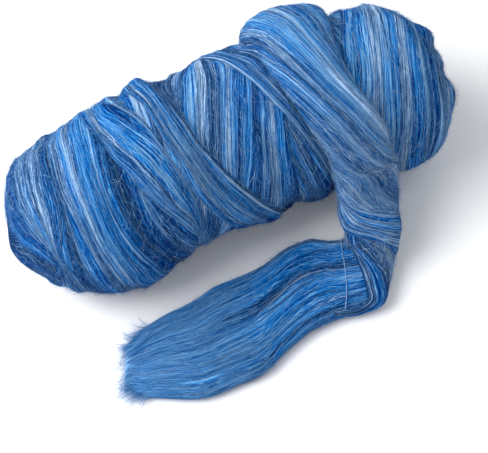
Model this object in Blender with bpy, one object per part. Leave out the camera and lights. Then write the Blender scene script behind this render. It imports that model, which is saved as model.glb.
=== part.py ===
"""Wool roving: a wound roll, with its loose end drawn over the roll and laid out beside it.

Metres, +Z up. The roll lies along X on a small flat spot, and the origin is the middle of
that spot. Angles around the roll run from the front (0, towards -Y) over the top (90) to
the back (180), and the underside is at -90. All tables are in millimetres and degrees.
"""

from math import acos, atan2, cos, degrees, floor, hypot, pi, radians, sin

import bmesh
import bpy
from mathutils import Vector

MM = 0.001
COLLECTION = "wool_roving"

# Driving sizes of the roll
ROLL_LEFT = -133.0
ROLL_RIGHT = 132.0
LEFT_DOME = 42.0
RIGHT_DOME = 28.0
LEFT_DOME_POWER = 2.1
RIGHT_DOME_POWER = 2.4
AXIS_HEIGHT = 46.5
ROLL_SEGMENTS = 72
ROLL_RINGS = 64

# The roll's girth, and how far its centre line drifts to the front: x, radius, forward
ROLL_SECTIONS = [
    (-133, 43.5, 3.0),
    (-118, 44.0, 4.0),
    (-105, 44.5, 6.0),
    (-85, 45.5, 8.5),
    (-72, 47.5, 7.0),
    (-60, 49.5, 4.5),
    (-48, 50.0, 2.4),
    (-36, 48.5, 0.3),
    (-22, 46.5, 0.0),
    (-6, 45.5, 0.0),
    (16, 46.5, 0.0),
    (45, 47.5, 0.5),
    (90, 47.5, 2.5),
    (106, 46.5, 2.8),
    (118, 46.5, 5.0),
    (132, 46.5, 9.0),
]

# The outer wraps in the order they were wound. Each runs from its back end to its front
# end, reach degrees to either side of its middle angle: middle angle, reach,
# x at the back, middle and front, half width at the same places, rise
WRAPS = {
    "back_left": (210, 80, -112, -88, -52, 14, 16, 14, 2.5),
    "back_middle": (215, 85, -58, -20, 22, 15, 17, 15, 3.0),
    "back_right": (210, 80, 96, 62, 24, 14, 18, 14, 2.5),
    "right_end": (60, 115, 98, 103, 103, 18, 20, 20, 2.0),
    "centre": (65, 115, 12, -4, 2, 16, 18, 20, 2.0),
    "left_end": (60, 115, -97, -115, -116, 10, 12, 12, 2.0),
    "left_fan": (50, 120, -72, -89, -80, 10, 18, 24, 4.0),
    "thin_fan": (50, 115, -80, -44, -14, 9, 14, 16, 3.0),
    "diagonal": (50, 118, -37, -29, 33, 9, 13.5, 20, 4.5),
    "under_drape": (50, 110, -2, 26, 38, 9, 12, 13, 2.5),
}
WRAP_PRESS = 0.45
WRAP_FADE = 0.25
WRAP_SHOULDER = 0.55

# Soft lumps and dents where wraps turn and where the roll rests:
# x, angle, reach along, reach round, rise
LUMPS = {
    "left_tuft": (-121, 15, 9, 36, 2.5),
    "left_low": (-123, -45, 9, 26, 5.0),
    "left_gap": (-119, -18, 5, 10, -3.0),
    "left_tail": (-108, -22, 8, 14, 1.0),
    "left_crest": (-92, 142, 7, 16, 2.4),
    "left_shoulder": (-105, 139, 8, 20, -3.2),
    "left_back": (-119, 152, 8, 20, 1.6),
    "front_left": (-96, -18, 12, 16, -1.5),
    "front_bulge": (-66, -28, 12, 22, 4.5),
    "front_hollow": (-32, -24, 11, 20, -3.0),
    "front_dip": (-16, -32, 7, 20, -4.0),
    "front_middle": (-3, -22, 12, 20, -2.5),
    "front_right": (26, -26, 9, 20, -4.0),
    "right_belly": (99, -25, 13, 18, 3.0),
    "right_high": (112, 120, 12, 15, -3.0),
    "right_upper": (126, 93, 8, 15, 6.0),
    "right_middle": (126, 64, 8, 10, 3.0),
    "right_low": (126, 24, 8, 16, 6.0),
    "top_left": (-65, 153, 15, 22, -1.6),
    "top_hump": (-13, 150, 6, 16, 1.5),
    "hump_side": (-46, 138, 7, 20, -3.5),
    "top_notch": (-22, 150, 5, 12, -4.0),
    "resting_belly": (8, -90, 90, 26, 3.0),
}
LUMP_SKIRT = 1.5

# The loose end where it lies over the roll: angle, left x, right x, rise off the roll
DRAPED_ROWS = [
    (238, 54, 79, 1.2),
    (221, 47, 82, 4.5),
    (200, 42, 84, 8.0),
    (172, 36, 84, 11.0),
    (146, 32, 82, 12.2),
    (120, 31.5, 77, 12.5),
    (95, 31, 70, 11.5),
    (75, 32, 68, 11.5),
    (58, 35, 71, 12.0),
    (41, 39, 76, 12.5),
    (25, 43, 80, 14.0),
    (11, 45.5, 81, 15.5),
]
DRAPED_BELLY = 0.6
SEAT_GAP = 1.0
SEAT_SPREAD = 4.0

# The loose end from the roll to its tip: left edge x, y, z, right edge x, y, z, crown, belly
FALLEN_ROWS = [
    (44, -56.6, 43, 77.5, -62.7, 42, 13, 8),
    (45, -61.6, 34, 77, -72, 33, 12.5, 10.5),
    (45.5, -64.8, 25, 72, -79.5, 26, 12, 11),
    (46, -67.5, 17, 66.5, -86.5, 19, 12, 10),
    (46, -69, 12, 61.5, -95, 14, 11, 9),
    (45, -69.5, 9, 55, -104, 10, 10, 7),
    (43.5, -69, 7.5, 46, -113, 7, 11, 5),
    (41, -67, 6.5, 33, -112.7, 6, 11, 5),
    (34.7, -64.5, 6, 23, -110.5, 5, 11, 5),
    (26, -59.2, 6, 15, -110, 5, 11, 5),
    (11.7, -58.5, 6, 1, -111, 5, 10.5, 5),
    (-4.3, -62.3, 5, -15, -115.7, 4.5, 10, 5),
    (-20.3, -63.5, 5, -33.4, -122.9, 4.5, 9.5, 5),
    (-36.3, -63.4, 5, -50.3, -124.3, 4, 9, 4),
    (-52.8, -66.6, 4.5, -69, -122.3, 4, 8.5, 4),
    (-68.2, -66.6, 4, -87.2, -115, 3.5, 7, 3.5),
    (-86, -69, 3, -102, -106.5, 3, 4.5, 2.5),
    (-97, -74, 2.5, -108, -98, 2.5, 2.5, 1.5),
]
SECTION_ROUNDNESS = 2.3
LOOSE_SEGMENTS = 26
LOOSE_RINGS = 72

# The turn of the fibres, in rows counted along both tables, and the stretch that it makes
# into a rope of a few strands
TWIST_START_ROW = 3.0
TWIST_END_ROW = 18.0
TWIST_TURN = -420.0
ROPE_START_ROW = 8.0
ROPE_END_ROW = 18.0
ROPE_RUN_IN = 3.0
ROPE_LOBES = 3
ROPE_DEPTH = 0.10

# Furrows along the laid stretch: first row, last row, across at both, depth, half width
FURROWS = {
    "main": (18.5, 26.0, -0.50, 0.10, 4.0, 0.20),
    "upper": (17.0, 22.0, -0.72, -0.62, 2.5, 0.14),
    "lower": (19.0, 26.0, 0.86, 0.66, 2.5, 0.16),
}
FURROW_FADE = 0.25

# The feathered tip, as uneven locks
LOCK_COUNT = 4
LOCK_PHASE = 0.8
LOCK_REACH = 3.0
LOCK_ROWS = 2.0

# The thin tie thread over the laid stretch
THREAD_RADIUS = 0.4
THREAD_GAP = 0.5
THREAD_START_ROW = 18.6
THREAD_END_ROW = 19.9
THREAD_START_ANGLE = 158.0
THREAD_END_ANGLE = 24.0
THREAD_STEPS = 16
THREAD_NUDGE = 0.01

POLE = 0.001
WOOL_BLUE = (0.075, 0.21, 0.52, 1.0)
LOOSE_BLUE = (0.10, 0.26, 0.58, 1.0)
THREAD_BLUE = (0.55, 0.70, 0.88, 1.0)


def smooth_step(value):
    """0 to 1 with flat ends."""
    value = min(1.0, max(0.0, value))
    return value * value * (3.0 - 2.0 * value)


def spline_rows(rows, at):
    """The row at a place between the rows of a table, on a Catmull-Rom curve."""
    first = min(max(int(floor(at)), 0), len(rows) - 2)
    part = min(1.0, max(0.0, at - first))
    square = part * part
    cube = square * part
    before = rows[max(first - 1, 0)]
    after = rows[min(first + 2, len(rows) - 1)]
    mixed = []
    for p0, p1, p2, p3 in zip(before, rows[first], rows[first + 1], after):
        slope_in = (p2 - p0) / 2.0
        slope_out = (p3 - p1) / 2.0
        start = p1 * (2 * cube - 3 * square + 1) + slope_in * (cube - 2 * square + part)
        end = p2 * (3 * square - 2 * cube) + slope_out * (cube - square)
        mixed.append(start + end)
    return mixed


def through_three(back, middle, front, s):
    """A quadratic through three values at s = -1, 0 and 1."""
    return middle + s * (front - back) / 2.0 + s * s * ((front + back) / 2.0 - middle)


def turn_between(angle, other):
    """The signed turn from one angle to another, in degrees."""
    return (angle - other + 180.0) % 360.0 - 180.0


def signed_power(value, power):
    return abs(value) ** power * (1.0 if value >= 0.0 else -1.0)


def roll_section(x):
    """The roll's radius and forward drift at a place along it."""
    for before, after in zip(ROLL_SECTIONS, ROLL_SECTIONS[1:]):
        if x <= after[0]:
            break
    part = smooth_step((x - before[0]) / (after[0] - before[0]))
    radius = before[1] + part * (after[1] - before[1])
    forward = before[2] + part * (after[2] - before[2])
    return radius, forward


def wrap_crown(wrap, x, angle):
    """How much of a wrap's full rise stands at a place: 0 outside it."""
    middle, reach, back_x, middle_x, front_x, back_half, middle_half, front_half = wrap[:8]
    s = -turn_between(angle, middle) / reach
    if abs(s) >= 1.0:
        return 0.0
    centre = through_three(back_x, middle_x, front_x, s)
    half = through_three(back_half, middle_half, front_half, s)
    edge = smooth_step((1.0 - abs(x - centre) / half) / WRAP_SHOULDER)
    return edge * smooth_step((1.0 - abs(s)) / WRAP_FADE)


def roll_relief(x, angle):
    """Height of the wraps and lumps over the roll's plain girth."""
    height = 0.0
    for wrap in WRAPS.values():
        crown = wrap_crown(wrap, x, angle)
        height = height * (1.0 - WRAP_PRESS * crown) + wrap[8] * crown
    for lump_x, lump_angle, along, around, rise in LUMPS.values():
        distance = hypot((x - lump_x) / along, turn_between(angle, lump_angle) / around)
        height += rise * (1.0 - smooth_step(distance / LUMP_SKIRT))
    return height


def end_shrink(x):
    """The share of the full girth left inside the domed ends."""
    left = (ROLL_LEFT + LEFT_DOME - x) / LEFT_DOME
    right = (x - ROLL_RIGHT + RIGHT_DOME) / RIGHT_DOME
    if left > 0.0:
        return max(0.0, 1.0 - left**LEFT_DOME_POWER) ** 0.5
    if right > 0.0:
        return max(0.0, 1.0 - right**RIGHT_DOME_POWER) ** 0.5
    return 1.0


def roll_radius(x, angle):
    """The roll's outer radius at a place along and around it."""
    return (roll_section(x)[0] + roll_relief(x, angle)) * end_shrink(x)


def roll_point(x, angle, radius):
    """A point round the roll's own centre line."""
    forward = roll_section(x)[1]
    turn = radians(angle)
    return Vector((x, -forward - radius * cos(turn), AXIS_HEIGHT + radius * sin(turn)))


def seat_radius(x, angle):
    """The radius where wool that bridges the roll's small hollows rests, with its gap."""
    highest = max(
        roll_radius(x + along * SEAT_SPREAD, angle + around * SEAT_SPREAD)
        for along in (-1, 0, 1)
        for around in (-1, 0, 1)
    )
    return highest + SEAT_GAP


def meridian_places(steps=400):
    """Length along the roll's outline and x, at close steps from one tip to the other."""
    middle = (ROLL_LEFT + ROLL_RIGHT) / 2.0
    half = (ROLL_RIGHT - ROLL_LEFT) / 2.0
    places = []
    length = 0.0
    for step in range(steps + 1):
        x = middle - half * cos(pi * step / steps)
        radius = roll_section(x)[0] * end_shrink(x)
        if places:
            length += hypot(x - places[-1][1], radius - last_radius)
        last_radius = radius
        places.append((length, x))
    return places


def place_at(places, share):
    """x at a share of the outline's whole length."""
    target = share * places[-1][0]
    for (length, x), (next_length, next_x) in zip(places, places[1:]):
        if target <= next_length:
            return x + (next_x - x) * (target - length) / (next_length - length)
    return places[-1][1]


def loose_rows():
    """Both tables of the loose end as rows of left x, y, z, right x, y, z, crown, belly."""
    rows = []
    for angle, left_x, right_x, rise in DRAPED_ROWS:
        left = roll_point(left_x, angle, seat_radius(left_x, angle))
        right = roll_point(right_x, angle, seat_radius(right_x, angle))
        rows.append((*left, *right, rise, DRAPED_BELLY))
    return rows + FALLEN_ROWS


def furrow_depth(row, across):
    """How far the furrows press the laid stretch down at a place."""
    depth = 0.0
    for first, last, across_first, across_last, deep, half in FURROWS.values():
        run = (row - first) / (last - first)
        if 0.0 < run < 1.0:
            off = (across - across_first - run * (across_last - across_first)) / half
            fade = smooth_step(run / FURROW_FADE) * smooth_step((1.0 - run) / FURROW_FADE)
            depth += deep * fade * max(0.0, 1.0 - off * off)
    return depth


def rope_swell(row, around):
    """The loose end's size at a place, raised by the strands of its twist."""
    run_in = smooth_step((row - ROPE_START_ROW) / ROPE_RUN_IN)
    run_out = smooth_step((ROPE_END_ROW - row) / ROPE_RUN_IN)
    share = (row - TWIST_START_ROW) / (TWIST_END_ROW - TWIST_START_ROW)
    turned = TWIST_TURN * smooth_step(share)
    return 1.0 + ROPE_DEPTH * run_in * run_out * cos(ROPE_LOBES * radians(around - turned))


def seat_on_roll(point):
    """Moves a point out of the roll, to its surface and a gap, and up to the ground."""
    forward = roll_section(point.x)[1]
    ahead = -(point.y + forward)
    up = point.z - AXIS_HEIGHT
    angle = degrees(atan2(up, ahead))
    least = seat_radius(point.x, angle)
    if hypot(ahead, up) < least:
        point = roll_point(point.x, angle, least)
    point.z = max(point.z, 0.0)
    return point


def loose_point(rows, along, around):
    """A point of the loose end's skin: along from 0 to 1, around in degrees, 90 on top."""
    last_row = len(rows) - 1
    row = along * last_row
    here = spline_rows(rows, row)
    behind = spline_rows(rows, row - 0.5)
    ahead = spline_rows(rows, row + 0.5)
    left = Vector(here[0:3])
    right = Vector(here[3:6])
    crown, belly = here[6:8]
    travel = Vector(ahead[0:3]) + Vector(ahead[3:6]) - Vector(behind[0:3]) - Vector(behind[3:6])
    side = right - left
    face = travel.cross(side).normalized()

    turn = radians(around)
    across = signed_power(cos(turn), 2.0 / SECTION_ROUNDNESS)
    over = signed_power(sin(turn), 2.0 / SECTION_ROUNDNESS)
    swell = rope_swell(row, around)
    height = over * (crown if over > 0.0 else belly) * swell
    sink = furrow_depth(row, across) * max(0.0, over)
    point = (left + right) / 2.0 + side * (across * swell / 2.0) + face * (height - sink)

    tip = smooth_step((row - last_row + LOCK_ROWS) / LOCK_ROWS)
    lock = 0.5 + 0.5 * cos(LOCK_COUNT * pi * across + LOCK_PHASE)
    point += travel.normalized() * (LOCK_REACH * tip * lock)
    return seat_on_roll(point)


def shaped_sphere(name, segments, rings, placed):
    """A UV sphere whose rings are moved to the sections that placed(along, around) gives."""
    bm = bmesh.new()
    bmesh.ops.create_uvsphere(bm, u_segments=segments, v_segments=rings, radius=1.0)
    for vert in bm.verts:
        along = acos(max(-1.0, min(1.0, vert.co.z))) / pi
        around = degrees(atan2(vert.co.y, vert.co.x))
        vert.co = placed(along, around) * MM
    if bm.calc_volume(signed=True) < 0.0:
        bmesh.ops.reverse_faces(bm, faces=bm.faces)
    mesh = bpy.data.meshes.new(name)
    bm.to_mesh(mesh)
    bm.free()
    mesh.shade_smooth()
    return bpy.data.objects.new(name, mesh)


def finish_with(obj, color, roughness):
    """Gives an object its own plain material."""
    material = bpy.data.materials.new(obj.name)
    material.use_nodes = True
    shader = material.node_tree.nodes["Principled BSDF"]
    shader.inputs["Base Color"].default_value = color
    shader.inputs["Roughness"].default_value = roughness
    shader.inputs["Metallic"].default_value = 0.0
    material.diffuse_color = color
    obj.data.materials.append(material)


def make_roll():
    """The wound roll: domed ends, raised wraps, and a flat spot to rest on."""
    places = meridian_places()

    def placed(along, around):
        x = place_at(places, along)
        point = roll_point(x, around, roll_radius(x, around))
        point.z = max(point.z, 0.0)
        return point

    roll = shaped_sphere("wound_roll", ROLL_SEGMENTS, ROLL_RINGS, placed)
    finish_with(roll, WOOL_BLUE, 0.7)
    return roll


def make_loose_end(rows):
    """The loose end: one thick band over the roll, twisted once, turned and laid out."""

    def placed(along, around):
        if min(along, 1.0 - along) < POLE:
            return (loose_point(rows, along, 0.0) + loose_point(rows, along, 180.0)) / 2.0
        return loose_point(rows, along, around)

    loose = shaped_sphere("loose_end", LOOSE_SEGMENTS, LOOSE_RINGS, placed)
    finish_with(loose, LOOSE_BLUE, 0.7)
    return loose


def thread_point(rows, share):
    """A point of the thread's centre line, held off the wool along its normal."""
    row = THREAD_START_ROW + share * (THREAD_END_ROW - THREAD_START_ROW)
    angle = THREAD_START_ANGLE + share * (THREAD_END_ANGLE - THREAD_START_ANGLE)
    along = row / (len(rows) - 1)
    here = loose_point(rows, along, angle)
    onward = loose_point(rows, along + THREAD_NUDGE, angle) - here
    round_it = loose_point(rows, along, angle + 100.0 * THREAD_NUDGE) - here
    return here + round_it.cross(onward).normalized() * (THREAD_RADIUS + THREAD_GAP)


def make_thread(rows):
    """The thin thread across the laid stretch, close over the wool."""
    curve = bpy.data.curves.new("tie_thread", "CURVE")
    curve.dimensions = "3D"
    curve.bevel_depth = THREAD_RADIUS * MM
    curve.bevel_resolution = 1
    curve.use_fill_caps = True
    spline = curve.splines.new("POLY")
    spline.points.add(THREAD_STEPS)
    for step, knot in enumerate(spline.points):
        knot.co = (*(thread_point(rows, step / THREAD_STEPS) * MM), 1.0)
    thread = bpy.data.objects.new("tie_thread", curve)
    finish_with(thread, THREAD_BLUE, 0.6)
    return thread


def main():
    for old in list(bpy.data.objects):
        bpy.data.objects.remove(old)
    rows = loose_rows()
    collection = bpy.data.collections.new(COLLECTION)
    bpy.context.scene.collection.children.link(collection)
    for obj in (make_roll(), make_loose_end(rows), make_thread(rows)):
        collection.objects.link(obj)


main()
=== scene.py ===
"""Wool roving: a wound roll of combed wool with its loose end drawn over it.

Run as a script. Tables and working arrays are in millimetres and degrees, in the frame's
axes: the roll lies along X, +Z is up, and the origin is the middle of its resting spot.
Angles round the roll run from the front (0, towards -Y) over the top (90) to the back
(180). Places along the roll are lengths of its outline from the left tip, so that they
stay even over the domed ends.
"""

from math import pi, radians

import bpy
import numpy as np
from mathutils import Matrix, Vector


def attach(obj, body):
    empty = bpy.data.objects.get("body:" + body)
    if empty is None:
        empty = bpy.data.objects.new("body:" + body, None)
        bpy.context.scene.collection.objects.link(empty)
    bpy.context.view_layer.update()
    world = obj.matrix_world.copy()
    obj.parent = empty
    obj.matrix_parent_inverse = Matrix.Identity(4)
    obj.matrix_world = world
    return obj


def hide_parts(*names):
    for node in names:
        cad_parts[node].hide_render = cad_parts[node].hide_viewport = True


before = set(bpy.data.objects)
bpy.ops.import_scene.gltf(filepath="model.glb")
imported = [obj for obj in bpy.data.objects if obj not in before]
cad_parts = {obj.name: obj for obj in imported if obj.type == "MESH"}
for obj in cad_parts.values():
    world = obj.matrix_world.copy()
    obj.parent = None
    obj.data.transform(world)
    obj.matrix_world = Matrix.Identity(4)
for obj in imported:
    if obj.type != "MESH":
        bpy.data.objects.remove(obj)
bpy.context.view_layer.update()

bl_info = {
    "name": "Wool Roving",
    "version": (1, 0, 0),
    "blender": (4, 5, 0),
    "location": "View3D > Sidebar > Roving",
    "description": "Builds a wound roll of combed wool with a loose end",
    "category": "Object",
}

MM = 0.001

# Camera and key light, in metres and degrees
CAMERA_PLACE = (-0.21073, -0.47162, 0.84530)
CAMERA_TURN = 25.3
CAMERA_TILT = 60.0
CAMERA_SENSOR = 36.0
CAMERA_LENS = 121.88
KEY_PLACE = (-0.77, 0.235, 0.88)
KEY_AIM = (0.0, 0.0, 0.03)

# The tie thread's course, in rows of the loose end's tables and angles round it
THREAD_ROWS = (18.6, 19.9)
THREAD_ANGLES = (158.0, 24.0)

# ---------------- the solids' forms

# The roll's tips, the length and the power of its domed ends, and its centre line's height
ROLL_LEFT = -133.0
ROLL_RIGHT = 132.0
LEFT_DOME = 42.0
RIGHT_DOME = 28.0
LEFT_DOME_POWER = 2.1
RIGHT_DOME_POWER = 2.4
AXIS_HEIGHT = 46.5

# The roll's plain form: x, radius and forward drift of its centre line
ROLL_SECTIONS = [
    (-133, 43.5, 3.0),
    (-118, 44.0, 4.0),
    (-105, 44.5, 6.0),
    (-85, 45.5, 8.5),
    (-72, 47.5, 7.0),
    (-60, 49.5, 4.5),
    (-48, 50.0, 2.4),
    (-36, 48.5, 0.3),
    (-22, 46.5, 0.0),
    (-6, 45.5, 0.0),
    (16, 46.5, 0.0),
    (45, 47.5, 0.5),
    (90, 47.5, 2.5),
    (106, 46.5, 2.8),
    (118, 46.5, 5.0),
    (132, 46.5, 9.0),
]
# The main wraps of the solid, from the first laid: middle angle, reach to either side, x at
# the back, middle and front, half width at the same places, and rise
WRAPS = [
    (210, 80, -112, -88, -52, 14, 16, 14, 2.5),
    (215, 85, -58, -20, 22, 15, 17, 15, 3.0),
    (210, 80, 96, 62, 24, 14, 18, 14, 2.5),
    (60, 115, 98, 103, 103, 18, 20, 20, 2.0),
    (65, 115, 12, -4, 2, 16, 18, 20, 2.0),
    (60, 115, -97, -115, -116, 10, 12, 12, 2.0),
    (50, 120, -72, -89, -80, 10, 18, 24, 4.0),
    (50, 115, -80, -44, -14, 9, 14, 16, 3.0),
    (50, 118, -37, -29, 33, 9, 13.5, 20, 4.5),
    (50, 110, -2, 26, 38, 9, 12, 13, 2.5),
]
# How far a wrap presses down those below it, and the shares of it in its ends and shoulders
WRAP_PRESS = 0.45
WRAP_FADE = 0.25
WRAP_SHOULDER = 0.55
# Soft lumps and dents of the solid: x, angle, size along the roll in millimetres and round it
# in degrees, and rise
LUMPS = [
    (-121, 15, 9, 36, 2.5),
    (-123, -45, 9, 26, 5.0),
    (-119, -18, 5, 10, -3.0),
    (-108, -22, 8, 14, 1.0),
    (-92, 142, 7, 16, 2.4),
    (-105, 139, 8, 20, -3.2),
    (-119, 152, 8, 20, 1.6),
    (-96, -18, 12, 16, -1.5),
    (-66, -28, 12, 22, 4.5),
    (-32, -24, 11, 20, -3.0),
    (-16, -32, 7, 20, -4.0),
    (-3, -22, 12, 20, -2.5),
    (26, -26, 9, 20, -4.0),
    (99, -25, 13, 18, 3.0),
    (112, 120, 12, 15, -3.0),
    (126, 93, 8, 15, 6.0),
    (126, 64, 8, 10, 3.0),
    (126, 24, 8, 16, 6.0),
    (-65, 153, 15, 22, -1.6),
    (-13, 150, 6, 16, 1.5),
    (-46, 138, 7, 20, -3.5),
    (-22, 150, 5, 12, -4.0),
    (8, -90, 90, 26, 3.0),
]
LUMP_SKIRT = 1.5
# Small knobs and dents of the outer wool: x, y, z, radius and rise
KNOBS = [
    (-133, -5, 42, 16, 2.5),
    (-131, -14, 36, 18, 3.5),
    (-131, 5, 56, 12, -2.5),
    (-120, -35, 32, 13, -4.0),
    (-127, 16, 60, 12, -0.8),
    (-98, 28, 76, 12, -2.5),
    (-78, 32, 80, 10, -1.2),
    (-44, 33, 87, 9, -3.0),
    (-38, 35, 86, 12, -1.5),
    (-93, -48, 18, 14, -1.0),
    (-73, -53, 25, 14, -2.0),
    (-60, -49, 26, 12, -1.0),
    (-20, -42, 24, 14, -2.5),
    (19, -43, 24, 12, -3.0),
    (99, -45, 22, 14, -1.5),
    (105, 31, 81, 22, -2.2),
    (124, -4, 82, 11, 3.0),
    (126, -10, 78, 6, -1.2),
    (128, -15, 72, 9, 1.8),
    (126, -25, 72, 7, -1.0),
    (126, -33, 64, 12, 3.0),
    (124, -42, 47, 9, 1.0),
]
# The loose end over the roll: angle, left x, right x, and crown
DRAPED_ROWS = [
    (238, 54, 79, 1.2),
    (221, 47, 82, 4.5),
    (200, 42, 84, 8.0),
    (172, 36, 84, 11.0),
    (146, 32, 82, 12.2),
    (120, 31.5, 77, 12.5),
    (95, 31, 70, 11.5),
    (75, 32, 68, 11.5),
    (58, 35, 71, 12.0),
    (41, 39, 76, 12.5),
    (25, 43, 80, 14.0),
    (11, 45.5, 81, 15.5),
]
DRAPED_BELLY = 0.6
# The loose end's gap over the roll, and how wide a hollow of the roll it bridges
SEAT_GAP = 1.0
SEAT_SPREAD = 4.0
# The loose end in front of the roll: left x, y, z, right x, y, z, crown and belly
FALLEN_ROWS = [
    (44, -56.6, 43, 77.5, -62.7, 42, 13, 8),
    (45, -61.6, 34, 77, -72, 33, 12.5, 10.5),
    (45.5, -64.8, 25, 72, -79.5, 26, 12, 11),
    (46, -67.5, 17, 66.5, -86.5, 19, 12, 10),
    (46, -69, 12, 61.5, -95, 14, 11, 9),
    (45, -69.5, 9, 55, -104, 10, 10, 7),
    (43.5, -69, 7.5, 46, -113, 7, 11, 5),
    (41, -67, 6.5, 33, -112.7, 6, 11, 5),
    (34.7, -64.5, 6, 23, -110.5, 5, 11, 5),
    (26, -59.2, 6, 15, -110, 5, 11, 5),
    (11.7, -58.5, 6, 1, -111, 5, 10.5, 5),
    (-4.3, -62.3, 5, -15, -115.7, 4.5, 10, 5),
    (-20.3, -63.5, 5, -33.4, -122.9, 4.5, 9.5, 5),
    (-36.3, -63.4, 5, -49.6, -122.9, 4, 9, 4),
    (-52.8, -66.6, 4.5, -69, -122.3, 4, 8.5, 4),
    (-68.2, -66.9, 4, -86.6, -114.2, 3.5, 7, 3.5),
    (-85.6, -70.5, 3, -100.5, -104.8, 3, 4.5, 2.5),
    (-106.4, -82.5, 2, -110.5, -88.5, 2, 0.3, 0.3),
]
SECTION_ROUNDNESS = 2.3
# Turns of the fibres round the loose end at every second row, and the rows, the number and
# the depth of the lobes of its rope form
TWIST_FROM_ROW = 2.0
TWIST_ROW_STEP = 2.0
TWIST_TURNS = [0.0, 0.05, 0.17, 0.29, 0.41, 0.66, 0.92, 1.12, 1.17, 1.17]
ROPE_START_ROW = 8.0
ROPE_END_ROW = 18.0
ROPE_RUN_IN = 3.0
ROPE_LOBES = 3
ROPE_DEPTH = 0.10
# Furrows of the laid stretch: first and last row, place across at both, from -1 at the left
# edge to 1, depth, and half width
FURROWS = [
    (18.5, 26.0, -0.50, 0.10, 4.0, 0.20),
    (17.0, 22.0, -0.72, -0.62, 2.5, 0.14),
    (19.0, 26.0, 0.86, 0.66, 2.5, 0.16),
]
FURROW_FADE = 0.25


def smooth_step(value):
    """0 to 1 with flat ends."""
    value = np.clip(value, 0.0, 1.0)
    return value * value * (3.0 - 2.0 * value)


def turn_between(angle, other):
    """The signed turn from one angle to another, in degrees."""
    return (angle - other + 180.0) % 360.0 - 180.0


def unit(vectors):
    """Vectors brought to length 1."""
    return vectors / np.maximum(np.linalg.norm(vectors, axis=-1, keepdims=True), 1e-9)


def signed_power(value, power):
    """A power of the value's size, with the value's sign."""
    return np.abs(value) ** power * np.where(value >= 0.0, 1.0, -1.0)


def keep_above(points, least=0.0):
    """Lifts points to the ground, or to a small height over it."""
    points[..., 2] = np.maximum(points[..., 2], least)
    return points


def running_total(steps):
    """Lengths reached after each of many steps, from 0."""
    return np.concatenate([[0.0], np.cumsum(steps)])


def draw_column(rng, limits, count):
    """Random values between two limits, one to a row."""
    return rng.uniform(*limits, (count, 1))


SECTION_X, SECTION_RADIUS, SECTION_FORWARD = np.array(ROLL_SECTIONS, float).T


def roll_section(x):
    """The roll's radius and forward drift at places along it."""
    i = np.clip(np.searchsorted(SECTION_X, x) - 1, 0, len(SECTION_X) - 2)
    part = smooth_step((x - SECTION_X[i]) / (SECTION_X[i + 1] - SECTION_X[i]))
    radius = SECTION_RADIUS[i] + part * (SECTION_RADIUS[i + 1] - SECTION_RADIUS[i])
    forward = SECTION_FORWARD[i] + part * (SECTION_FORWARD[i + 1] - SECTION_FORWARD[i])
    return radius, forward


def curve_through(s, first, middle, last):
    """A bent run through values at -1, 0 and 1."""
    return middle + s * (last - first) / 2.0 + s * s * ((last + first) / 2.0 - middle)


def roll_relief(x, angle):
    """Height of the wraps and lumps over the roll's plain girth."""
    height = np.zeros(np.broadcast(x, angle).shape)
    for middle, reach, back, centre, front, back_half, half, front_half, rise in WRAPS:
        s = np.clip(-turn_between(angle, middle) / reach, -1.0, 1.0)
        at = curve_through(s, back, centre, front)
        wide = curve_through(s, back_half, half, front_half)
        crown = smooth_step((1.0 - np.abs(x - at) / wide) / WRAP_SHOULDER)
        crown = crown * smooth_step((1.0 - np.abs(s)) / WRAP_FADE)
        height = height * (1.0 - WRAP_PRESS * crown) + rise * crown
    for lump_x, lump_angle, along, around, rise in LUMPS:
        distance = np.hypot((x - lump_x) / along, turn_between(angle, lump_angle) / around)
        height = height + rise * (1.0 - smooth_step(distance / LUMP_SKIRT))
    return height


def end_shrink(x):
    """The share of the full girth left inside the domed ends."""
    left = np.maximum(0.0, (ROLL_LEFT + LEFT_DOME - x) / LEFT_DOME)
    right = np.maximum(0.0, (x - ROLL_RIGHT + RIGHT_DOME) / RIGHT_DOME)
    kept = 1.0 - left**LEFT_DOME_POWER - right**RIGHT_DOME_POWER
    return np.sqrt(np.maximum(0.0, kept))


def roll_radius(x, angle):
    """The roll's outer radius at places along and around it."""
    return (roll_section(x)[0] + roll_relief(x, angle)) * end_shrink(x)


def roll_point(x, angle, radius):
    """Points round the roll's own centre line."""
    forward = roll_section(x)[1]
    turn = np.radians(angle)
    x = x + 0.0 * turn
    return np.stack([x, -forward - radius * np.cos(turn),
                     AXIS_HEIGHT + radius * np.sin(turn)], -1)


def seat_radius(x, angle):
    """The radius where wool that bridges the roll's small hollows rests, with its gap."""
    highest = 0.0
    for along in (-SEAT_SPREAD, 0.0, SEAT_SPREAD):
        for around in (-SEAT_SPREAD, 0.0, SEAT_SPREAD):
            highest = np.maximum(highest, roll_radius(x + along, angle + around))
    return highest + SEAT_GAP


def meridian_places(steps=400):
    """Length along the roll's outline and x, at close steps from tip to tip."""
    turn = np.linspace(0.0, pi, steps + 1)
    x = (ROLL_LEFT + ROLL_RIGHT) / 2.0 - (ROLL_RIGHT - ROLL_LEFT) / 2.0 * np.cos(turn)
    radius = roll_section(x)[0] * end_shrink(x)
    return running_total(np.hypot(np.diff(x), np.diff(radius))), x


MERIDIAN, MERIDIAN_X = meridian_places()
MERIDIAN_LENGTH = MERIDIAN[-1]


def loose_rows():
    """Both tables of the loose end: left x, y, z, right x, y, z, crown, belly."""
    rows = []
    for angle, left_x, right_x, rise in DRAPED_ROWS:
        edge = []
        for x in (left_x, right_x):
            x = np.array(float(x))
            edge.extend(roll_point(x, angle, seat_radius(x, angle)))
        rows.append((*edge, rise, DRAPED_BELLY))
    return np.array(rows + FALLEN_ROWS, float)


LOOSE_ROWS = loose_rows()
LAST_ROW = len(LOOSE_ROWS) - 1.0


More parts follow.
